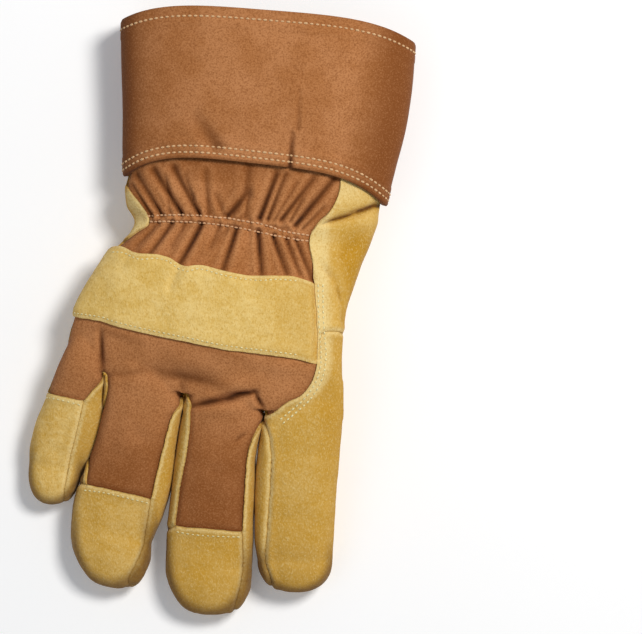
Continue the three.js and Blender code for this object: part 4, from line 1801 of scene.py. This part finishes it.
@dataclass
class KnuckleStrap:
    """The leather strap across the knuckles, sewn over the join of the two canvas backs.

    Lengths are millimetres. Its right end is tucked under the welt.
    """

    shell: Shell
    clearance: float = 0.35
    wall: float = 1.6
    edge_round: Pair = (0.55, 0.9)
    stitch_line: float = 1.7
    stitch_groove: Pair = (0.12, 0.7)
    swell: Triple = (0.2, 4, 2.5)
    ripple: float = 0.45
    ripple_length: float = 2.9
    ripple_start: float = 0.8
    ripple_fade: float = 3.5
    ripple_step: Pair = (-1, 1)
    tuck: Pair = (39.0, 42.3)
    tuck_depth: float = 0.1
    inner_shade: float = 0.3

    def _cut(self) -> tuple[Array, Array, Array]:
        """Cuts the strap's outline out of the skin.

        Returns:
            Its points, normals and quads.
        """
        skin, plain = self.shell.skin, self.shell.plain
        x, y, z = plain[skin.faces].mean(axis=1).T
        end = np.array(STRAP_END)
        chosen = (y < line_y(STRAP_TOP, x)) & (y > line_y(STRAP_BOTTOM, x))
        chosen &= (x < np.interp(-y, -end[:, 1], end[:, 0])) & (z > STRAP_SEAM_HEIGHT)
        border = chosen[skin.links.faces[:, 0]] != chosen[skin.links.faces[:, 1]]
        smooth = smoothed_border(plain, skin.links, border)
        used, faces = cut_out(skin.faces[chosen])
        normals = self.shell.plain_normals[used]
        return smooth[used] + normals * self.shell.base[used][:, None], normals, faces

    def _height(self, base: Array, edge: Array) -> Array:
        """Works out how far the strap stands above the skin.

        Args:
            base: Its points.
            edge: Their distances from its edge.

        Returns:
            One height a point.
        """
        drop, width = self.edge_round
        groove, groove_width = self.stitch_groove
        swell, place, swell_width = self.swell
        height = self.clearance + self.wall - drop * bell(edge, width)
        height -= groove * bell(edge - self.stitch_line, groove_width)
        height += swell * bell(edge - place, swell_width)
        below_top = line_y(STRAP_TOP, base[:, 0]) - base[:, 1]
        wave = self.ripple * np.sin(base[:, 0] / self.ripple_length + self.ripple_start)
        height += wave * bell(below_top, self.ripple_fade) * ramp(below_top, *self.ripple_step)
        for fold in STRAP_FOLDS:
            distance, _ = fold.place(base[:, :2])
            height -= fold.depth * bell(distance, fold.width)
        tucked = ramp(base[:, 0], *self.tuck)
        return height * (1 - tucked) - self.tuck_depth * tucked

    def build(self, finish: Material) -> Object:
        """Makes the strap as a raised copy of the skin inside its wavy outline.

        Args:
            finish: Leather.

        Returns:
            The finished piece.
        """
        base, normals, faces = self._cut()
        _, edge, _ = from_rim(base, faces)
        outer = base + normals * self._height(base, edge)[:, None]
        points, all_faces = with_thickness(outer, faces, normals, self.wall)
        # Painted shade along the edge, on steep sides and in the stitch groove, and darker towards the right
        # end; a pale cut edge.
        shade = 0.25 * np.exp(-edge / 0.5) + 0.3 * (1 - normals[:, 2]) ** 2 + 0.35 * ramp(base[:, 0], 5, 40)
        shade += 0.3 * bell(edge - self.stitch_line, 0.6)
        tones = Tones(shade, 0 * shade, 0.6 * bell(edge - 0.6, 0.7))
        tones = tones.backed(Tones.even(len(outer), self.inner_shade))
        return dressed("knuckle_strap_leather", points, all_faces, tones, finish)


CUFF_SECTIONS = Sections.of(
    (-45.5, 132, 87.5, 121.5, 44, -1, 0, 8.5),
    (-45.5, 113.5, 86.5, 104.5, 44, -1, 0, 9),
    (-45, 91, 83.5, 84.5, 43.5, -1, 0, 10),
    (-45, 73, 79, 66.5, 42.5, -1, 0, 11),
    (-44.5, 61.5, 74.5, 48, 42, -1, 0, 12),
)
# The tuck across the cuff's lower stitches, the line above it, and the pucker to its left.
CUFF_DENTS = creases(
    (32, 80, 30.5, 60, 2.6, 1.1),
    (35.3, 98, 34.5, 82, 0.8, 1.0),
    (-11, 88, -2, 75, 1.2, 3.2),
    (-15, 82, -9, 74, -0.6, 3.0),
    (-34, 76, -20, 72, 0.4, 3.0),
)


@dataclass
class Cuff:
    """The stiff canvas cuff, hemmed at its mouth and turned under where it laps over the hand.

    Lengths are millimetres. The stitches sink into grooves, and on the underside the cloth is raised
    above the table by the room that the thread needs.
    """

    stations: tuple[int, int] = (210, 120)
    steps: int = 30
    wall: float = 2.0
    uneven_height_size_seed: tuple[Triple, ...] = ((0.3, 30, 5.5), (0.1, 9, 8.3))
    hem_rise: float = 0.22
    hem_step: Pair = (8.4, 9.4)
    hem_row: float = 4.6
    hem_groove: Pair = (0.3, 0.7)
    turn_rise: float = 0.3
    turn_step: Pair = (8.0, 9.0)
    edge_rows: Pair = (5.4, 2.5)
    edge_groove: Pair = (0.32, 0.6)
    edge_round: float = 0.45
    mouth_width: float = 0.7
    edge_width: float = 0.6
    pucker: float = 0.12
    pucker_length: float = 1.9
    pucker_place: Pair = (4, 3.0)
    facing_up: Pair = (0.1, 0.5)
    facing_down: Pair = (0.3, 0.8)
    # Painted shade inside the cuff, in the deep and the brown colour.
    inner_tones: Pair = (0.6, 0.2)
    thread_room: float = 0.6
    thread_reach: float = 1.1

    def _height(self, points: Array, top: Array, mouth: Array, edge: Array) -> tuple[Array, Array]:
        """Works out the hem, the turned edge, the stitch grooves and the dents.

        Args:
            points: Points of the cuff.
            top: 1 on its upper side.
            mouth: Distances from its mouth.
            edge: Distances from its other edge.

        Returns:
            One height a point, and how deep each point lies in a dent.
        """
        height = sum(rise * cloud(points, size, seed) for rise, size, seed in self.uneven_height_size_seed)
        for rise, step, distance, width in (
            (self.hem_rise, self.hem_step, mouth, self.mouth_width),
            (self.turn_rise, self.turn_step, edge, self.edge_width),
        ):
            height += rise * (1 - ramp(distance, *step)) - self.edge_round * bell(distance, width)
        place, reach = self.pucker_place
        height += self.pucker * np.sin(points[:, 0] / self.pucker_length) * bell(edge - place, reach)
        height -= self.hem_groove[0] * bell(mouth - self.hem_row, self.hem_groove[1])
        for row in self.edge_rows:
            height -= self.edge_groove[0] * bell(edge - row, self.edge_groove[1])
        # How deep a point lies in a dent, for painted shade.
        deep = np.zeros(len(points))
        for dent in CUFF_DENTS:
            distance, share = dent.place(points[:, :2])
            depth = top * dent.depth
            height -= depth * bell(distance, dent.width) * (0.4 + 0.6 * share)
            deep = np.maximum(deep, depth * (0.3 + 0.7 * share) * bell(distance, dent.width * 0.9) / 1.8)
        return height, deep

    def _tones(self, x: Array, top: Array, mouth: Array, edge: Array, deep: Array) -> Tones:
        """Works out the tones: painted shade at both sides, in the dents and along the edges, the brown
        colour also at the two hems, and a painted highlight on the upper side over the turned edge.

        Args:
            x: Places across the cuff, a ring in each row.
            top: 1 on its upper side.
            mouth: Distances from its mouth.
            edge: Distances from its other edge.
            deep: How deep each point lies in a dent.

        Returns:
            The tones of the outer side.
        """
        left, right = x.min(axis=1)[:, None], x.max(axis=1)[:, None]
        across = ((x - left) / (right - left)).ravel()
        # Painted shade at both sides, along the lower edge and in the dents; the brown colour at the sides,
        # the hems and in the dents; a painted highlight over the turned edge.
        shade = 0.9 * bell(across, 0.06) + 0.95 * ramp(across, 0.78, 0.96) + 0.35 * bell(across, 0.22)
        shade += 0.35 * np.exp(-edge / 1.1) + 0.9 * deep
        wear = 0.3 * bell(across, 0.03) + 0.3 * np.exp(-mouth / 0.8) + 0.35 * np.exp(-edge / 0.6)
        return Tones(shade, wear + 0.8 * deep**1.4, 0.16 * bell(edge - 4.0, 1.6) * top)

    def build(self, finish: Material) -> Object:
        """Makes the cuff.

        Args:
            finish: Canvas.

        Returns:
            The finished piece.
        """
        rings = CUFF_SECTIONS.refined(self.steps).rings(*self.stations)
        step = np.linalg.norm(np.diff(rings, axis=0), axis=2)
        self.from_mouth = np.concatenate([np.zeros((1, rings.shape[1])), np.cumsum(step, axis=0)])
        self.from_edge = self.from_mouth[-1] - self.from_mouth
        points, faces = rings.reshape(-1, 3), ring_quads(*rings.shape[:2])
        normals = vertex_normals(points, faces)
        if normals[np.argmax(points[:, 2]), 2] < 0:
            faces, normals = faces[:, ::-1], -normals
        mouth, edge = self.from_mouth.ravel(), self.from_edge.ravel()
        top = ramp(normals[:, 2], *self.facing_up)
        height, deep = self._height(points, top, mouth, edge)
        outer = above_floor(points + normals * height[:, None])
        grooves = bell(mouth - self.hem_row, self.thread_reach)
        grooves += sum(bell(edge - row, self.thread_reach) for row in self.edge_rows)
        under = ramp(-normals[:, 2], *self.facing_down)
        outer[:, 2] += self.thread_room * np.minimum(grooves, 1) * under
        self.surface = outer.reshape(rings.shape)
        self.normals = normals.reshape(rings.shape)
        tones = self._tones(rings[:, :, 0], top, mouth, edge, deep)
        tones = tones.backed(Tones.even(len(outer), *self.inner_tones))
        all_points, all_faces = with_thickness(outer, faces, normals, self.wall)
        return dressed("cuff_canvas", all_points, all_faces, tones, finish)

    def row(self, offset: float, from_mouth: bool) -> tuple[Array, Array]:
        """Lays a closed line round the cuff.

        Args:
            offset: Its distance from one of the cuff's edges.
            from_mouth: True to measure from the mouth, False from the other edge.

        Returns:
            Points and normals.
        """
        order = slice(None) if from_mouth else slice(None, None, -1)
        distance = (self.from_mouth if from_mouth else self.from_edge)[order]
        line, lift = [], []
        for k in [*range(distance.shape[1]), 0]:
            for found, values in ((line, self.surface), (lift, self.normals)):
                column = values[order, k]
                found.append([np.interp(offset, distance[:, k], column[:, axis]) for axis in range(3)])
        return np.array(line), np.array(lift)


@dataclass(frozen=True)
class Stitch:
    """Sizes of one stitch, in millimetres, and the seed of its small differences."""

    pitch: float
    length: float
    width: float
    height: float = 0.45
    raised: float = 0.06
    seed: int = 1


class StitchNodes:
    """Geometry nodes that lay one stitch at each step along the rows of a piece."""

    sizes = ("Pitch", "Length", "Width", "Height")
    smallest, largest = 0.86, 1.1
    spindle = {"Segments": 8, "Rings": 6, "Radius": 0.5}
    rest_height = 0.55

    def __init__(self) -> None:
        """Builds the tree once, for every thread."""
        self.tree = bpy.data.node_groups.new("stitches", "GeometryNodeTree")
        face = self.tree.interface
        inputs = [("Rows", "Geometry"), *((name, "Float") for name in self.sizes), ("Seed", "Int")]
        for name, kind in (*inputs, ("Thread", "Material")):
            face.new_socket(name, in_out="INPUT", socket_type="NodeSocket" + kind)
        face.new_socket("Stitches", in_out="OUTPUT", socket_type="NodeSocketGeometry")
        self.sockets = {item.name: item.identifier for item in face.items_tree if item.in_out == "INPUT"}
        self._wire()

    def _node(self, kind: str, inputs: Inputs, settings: Settings | None = None) -> NodeOutputs:
        """Adds a node to the tree, and returns its outputs."""
        return add_node(self.tree, kind, settings or {}, inputs)

    def _wire(self) -> None:
        """Rows become curves, points at each pitch, and a small turned spindle on each point."""
        given = self._node("NodeGroupInput", {})
        curve = self._node("GeometryNodeMeshToCurve", {"Mesh": given["Rows"]})[0]
        pitch = {"Curve": curve, "Length": given["Pitch"]}
        even = self._node("GeometryNodeResampleCurve", pitch, {"mode": "LENGTH"})[0]
        spindle = self._node("GeometryNodeMeshUVSphere", self.spindle)[0]
        sizes = {"X": given["Length"], "Y": given["Width"], "Z": given["Height"]}
        size = self._node("ShaderNodeCombineXYZ", sizes)[0]
        shaped = self._node("GeometryNodeTransform", {"Geometry": spindle, "Scale": size})[0]
        tangent = self._node("GeometryNodeInputTangent", {})[0]
        vector = {"data_type": "FLOAT_VECTOR"}
        lift = self._node("GeometryNodeInputNamedAttribute", {"Name": "lift"}, vector)[0]
        along = self._node("FunctionNodeAlignRotationToVector", {"Vector": tangent}, {"axis": "X"})[0]
        turned = {"Rotation": along, "Vector": lift}
        upright = self._node("FunctionNodeAlignRotationToVector", turned, {"axis": "Z", "pivot_axis": "X"})[0]
        limits = {2: self.smallest, 3: self.largest, "Seed": given["Seed"]}
        vary = self._node("FunctionNodeRandomValue", limits, {"data_type": "FLOAT"})[1]
        placed = {"Points": even, "Instance": shaped, "Rotation": upright, "Scale": vary}
        laid = self._node("GeometryNodeInstanceOnPoints", placed)[0]
        real = self._node("GeometryNodeRealizeInstances", {"Geometry": laid})[0]
        soft = self._node("GeometryNodeSetShadeSmooth", {"Geometry": real})[0]
        sewn = self._node("GeometryNodeSetMaterial", {"Geometry": soft, "Material": given["Thread"]})[0]
        self._node("NodeGroupOutput", {0: sewn})

    def sew(self, name: str, rows: list[tuple[Array, Array]], stitch: Stitch, finish: Material) -> Object:
        """Makes one object of all the stitches along rows.

        Args:
            name: Name of the piece.
            rows: Lines of points with their surface normals, in millimetres.
            stitch: Sizes of the stitch.
            finish: Thread.

        Returns:
            A plain mesh object.
        """
        points = np.concatenate([line + lift * stitch.raised for line, lift in rows])
        points = above_floor(points, stitch.height * self.rest_height)
        lifts = np.concatenate([lift for _, lift in rows]).astype(np.float32)
        edges, start = [], 0
        for line, _ in rows:
            edges += [(start + k, start + k + 1) for k in range(len(line) - 1)]
            start += len(line)
        mesh = bpy.data.meshes.new(name + "_rows")
        mesh.from_pydata((points * MM).tolist(), edges, [])
        mesh.attributes.new("lift", "FLOAT_VECTOR", "POINT").data.foreach_set("vector", lifts.ravel())
        carrier = new_object(name + "_rows", mesh)
        sewing = carrier.modifiers.new("sewing", "NODES")
        sewing.node_group = self.tree
        for key, value in zip(self.sizes, (stitch.pitch, stitch.length, stitch.width, stitch.height)):
            sewing[self.sockets[key]] = value * MM
        sewing[self.sockets["Seed"]] = stitch.seed
        sewing[self.sockets["Thread"]] = finish
        sewn = evaluated_mesh(carrier)
        sewn.name = name
        return new_object(name, sewn)


class Surface:
    """The outside of finished pieces, seen from above, to lay rows of stitches on."""

    high = 90
    spacing = 0.9
    steps = 8
    smoothing_rounds = 3

    def __init__(self, pieces: list[Object]) -> None:
        """Gathers the pieces' faces into one search tree.

        Args:
            pieces: The pieces.
        """
        meshes = [piece.data for piece in pieces]
        corners = [np.array([v.co / MM for v in mesh.vertices]) for mesh in meshes]
        quads = [[tuple(face.vertices) for face in mesh.polygons] for mesh in meshes]
        points, faces = joined(list(zip(corners, quads)))
        self.tree = BVHTree.FromPolygons(points.tolist(), faces)

    def row(self, plan: tuple[Point, ...]) -> tuple[Array, Array]:
        """Lays a line on the surface above a plan line.

        Args:
            plan: Corners of the plan line.

        Returns:
            Points and normals.
        """
        corners = catmull_rom(np.array(plan, float), self.steps)
        length = np.concatenate([[0], np.cumsum(np.linalg.norm(np.diff(corners, axis=0), axis=1))])
        along = np.linspace(0, length[-1], max(int(length[-1] / self.spacing), 2))
        x, y = (np.interp(along, length, corners[:, k]) for k in (0, 1))
        hits = [self.tree.ray_cast(Vector((*at, self.high)), Vector((0, 0, -1))) for at in zip(x, y)]
        points = np.array([hit[0] for hit in hits if hit[0] is not None])
        normals = np.array([hit[1] for hit in hits if hit[0] is not None])
        for values in (points, normals):
            for _ in range(self.smoothing_rounds):
                values[1:-1] = (values[:-2] + 2 * values[1:-1] + values[2:]) / 4
        return points, normals / np.linalg.norm(normals, axis=1)[:, None]


def beside(line: tuple[Point, ...], offset: float) -> tuple[Point, ...]:
    """Moves a plan line sideways.

    Args:
        line: The line.
        offset: How far, to the left of its direction where positive.

    Returns:
        The moved line.
    """
    points = np.array(line, float)
    along = np.gradient(points, axis=0)
    along /= np.linalg.norm(along, axis=1)[:, None]
    moved = points + offset * np.column_stack([-along[:, 1], along[:, 0]])
    return tuple((float(x), float(y)) for x, y in moved)


CAP_LINES = {
    "little": ((-81, -37), (-76.5, -37.2), (-71, -38.2), (-64, -40)),
    "ring": ((-61.5, -78.8), (-54, -79.6), (-45, -81.5), (-33.5, -84.3)),
    "middle": ((-19.6, -97.6), (-12, -98.8), (-4, -99.4), (7.5, -99.8)),
}


@dataclass
class Sewing:
    """Every visible row of stitches, each as far from its seam as the real one."""

    cuff: Cuff
    pieces: dict[str, Object]
    cuff_stitch: Stitch = Stitch(2.6, 1.95, 1.0, 0.7, 0.2)
    elastic_stitch: Stitch = Stitch(2.1, 1.85, 0.95, 0.7, 0.3, seed=2)
    edge_stitch: Stitch = Stitch(2.2, 1.3, 0.7, 0.36, 0.1, seed=3)
    welt_stitch: Stitch = Stitch(2.3, 1.5, 0.85, 0.45, 0.18, seed=4)
    strap_inset: float = 1.8
    strap_top_x: Pair = (-50, 38)
    strap_bottom_x: Pair = (-70, 38)
    welt_rows: Pair = (1.9, 4.0)
    cap_inset: float = 1.5

    def _on(self, names: list[str], lines: list[tuple[Point, ...]]) -> list[tuple[Array, Array]]:
        """Rows of points on some pieces, above plan lines."""
        surface = Surface([self.pieces[name] for name in names])
        return [surface.row(line) for line in lines]

    def build(self) -> list[Object]:
        """Sews the rows.

        Returns:
            One object for each thread and place.
        """
        nodes, cuff = StitchNodes(), self.cuff
        pale = Thread("cuff_thread", (238, 194, 144)).material()
        peach = Thread("elastic_thread", (238, 188, 142)).material()
        yellow = Thread("leather_thread", (255, 242, 184)).material()
        top, bottom = (
            tuple(p for p in line if low < p[0] < high)
            for line, (low, high) in ((STRAP_TOP, self.strap_top_x), (STRAP_BOTTOM, self.strap_bottom_x))
        )
        strap = [beside(top, -self.strap_inset), beside(bottom, self.strap_inset)]
        welt = [beside(WELT, offset)[:-1] for offset in self.welt_rows]
        caps = [beside(line, -self.cap_inset) for line in CAP_LINES.values()]
        hems = [cuff.row(cuff.hem_row, True), *(cuff.row(row, False) for row in cuff.edge_rows)]
        elastic = self._on(["back_upper"], [ELASTIC_UPPER, ELASTIC_LOWER])
        strap_rows = self._on(["knuckle_strap"], strap)
        welt_rows = self._on(["palm", "index_back"], welt)
        cap_rows = self._on([f"tip_{name}" for name in CAP_LINES], caps)
        return [
            nodes.sew("cuff_stitches", hems, self.cuff_stitch, pale),
            nodes.sew("elastic_stitches", elastic, self.elastic_stitch, peach),
            nodes.sew("strap_stitches", strap_rows, self.edge_stitch, yellow),
            nodes.sew("welt_stitches", welt_rows, self.welt_stitch, yellow),
            nodes.sew("cap_stitches", cap_rows, self.edge_stitch, yellow),
        ]


@dataclass(frozen=True)
class Lamp:
    """A square lamp that faces the glove: its place in metres, size, power and colour."""

    name: str
    place: Triple
    size: float
    power: float
    colour: Triple

    def build(self) -> None:
        """Hangs the lamp."""
        data = bpy.data.lights.new(self.name, "AREA")
        data.size = self.size
        data.energy = self.power
        data.color = self.colour
        lamp = new_object(self.name, data)
        lamp.location = self.place
        lamp.rotation_euler = (-Vector(self.place)).to_track_quat("-Z", "Y").to_euler()


@dataclass(frozen=True)
class Studio:
    """A white table, soft light from the upper right and a camera straight above. Lengths are metres."""

    centre: Pair = (0.0448, -0.002)
    camera_height: float = 2.0
    lens: float = 245.5
    sensor_width: float = 36
    floor_half: float = 3.0
    floor_colour: tuple[float, ...] = (0.93, 0.94, 0.96, 1)
    floor_roughness: float = 0.9
    floor_glow: tuple[float, ...] = (0.95, 0.97, 1.0, 1)
    floor_glow_strength: float = 0.13
    sky_colour: tuple[float, ...] = (0.93, 0.96, 1.0, 1)
    sky_strength: float = 0.24
    lamps: tuple[Lamp, ...] = (
        Lamp("key", (0.64, 0.5, 1.3), 0.4, 18.0, (1.0, 0.97, 0.92)),
        Lamp("fill", (-0.7, -0.4, 1.2), 0.9, 2.0, (0.95, 0.97, 1.0)),
    )

    def build(self) -> None:
        """Makes the floor, the lights and the camera."""
        bpy.context.scene.view_settings.view_transform = "Standard"
        self._floor()
        self._sky()
        for lamp in self.lamps:
            lamp.build()
        data = bpy.data.cameras.new("camera")
        data.lens = self.lens
        data.sensor_width = self.sensor_width
        camera = new_object("camera", data)
        camera.location = (*self.centre, self.camera_height)
        bpy.context.scene.camera = camera

    def _floor(self) -> None:
        """A wide white floor."""
        half = self.floor_half / MM
        corners = np.array([[-half, -half, 0], [half, -half, 0], [half, half, 0], [-half, half, 0]])
        floor = new_object("floor", new_mesh("floor", corners, [(0, 1, 2, 3)]))
        material = bpy.data.materials.new("floor")
        material.use_nodes = True
        values = {
            "Base Color": self.floor_colour,
            "Roughness": self.floor_roughness,
            "Emission Color": self.floor_glow,
            "Emission Strength": self.floor_glow_strength,
        }
        set_inputs(material.node_tree, material.node_tree.nodes["Principled BSDF"], values)
        floor.data.materials.append(material)

    def _sky(self) -> None:
        """An even sky."""
        world = bpy.data.worlds.new("sky")
        world.use_nodes = True
        values = {"Color": self.sky_colour, "Strength": self.sky_strength}
        set_inputs(world.node_tree, world.node_tree.nodes["Background"], values)
        bpy.context.scene.world = world


def keep(piece: Object, node: str | None = None) -> None:
    """Fixes a piece to the glove's body, and reports it.

    Args:
        piece: The piece.
        node: Solid that it stands for, if any.
    """
    if node is not None:
        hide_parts(node)
    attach(piece, "root")
    logging.info("%s: %d faces", piece.name, len(piece.data.polygons))


@dataclass(frozen=True)
class Cut:
    """How a piece of cloth was cut: its flat size and area in metres, how it is held and on what."""

    flat: Pair
    area: float
    held: str
    rests_on: list[str]


def main() -> None:
    """Builds the glove and the studio."""
    logging.basicConfig(level=logging.INFO, format="%(message)s")
    Studio().build()
    leather = SplitLeather("split_leather").material()
    strap_leather = SplitLeather("strap_leather", light=(238, 206, 130), middle=(222, 184, 98)).material()
    canvas = Canvas("canvas").material()
    cuff_canvas = Canvas("cuff_canvas", light=(190, 129, 82), middle=(175, 114, 66), thread=0.7).material()

    pieces: dict[str, Object] = {}
    shell = Shell()
    for name in shell.skin.names:
        is_leather = not name.startswith("back_")
        pieces[name] = shell.build(name, is_leather, leather if is_leather else canvas)
        keep(pieces[name], name)
    pieces["knuckle_strap"] = KnuckleStrap(shell).build(strap_leather)
    keep(pieces["knuckle_strap"], "knuckle_strap")
    cuff = Cuff()
    pieces["cuff"] = cuff.build(cuff_canvas)
    keep(pieces["cuff"], "cuff")
    for thread in Sewing(cuff, pieces).build():
        keep(thread)


if __name__ == "__main__":
    main()
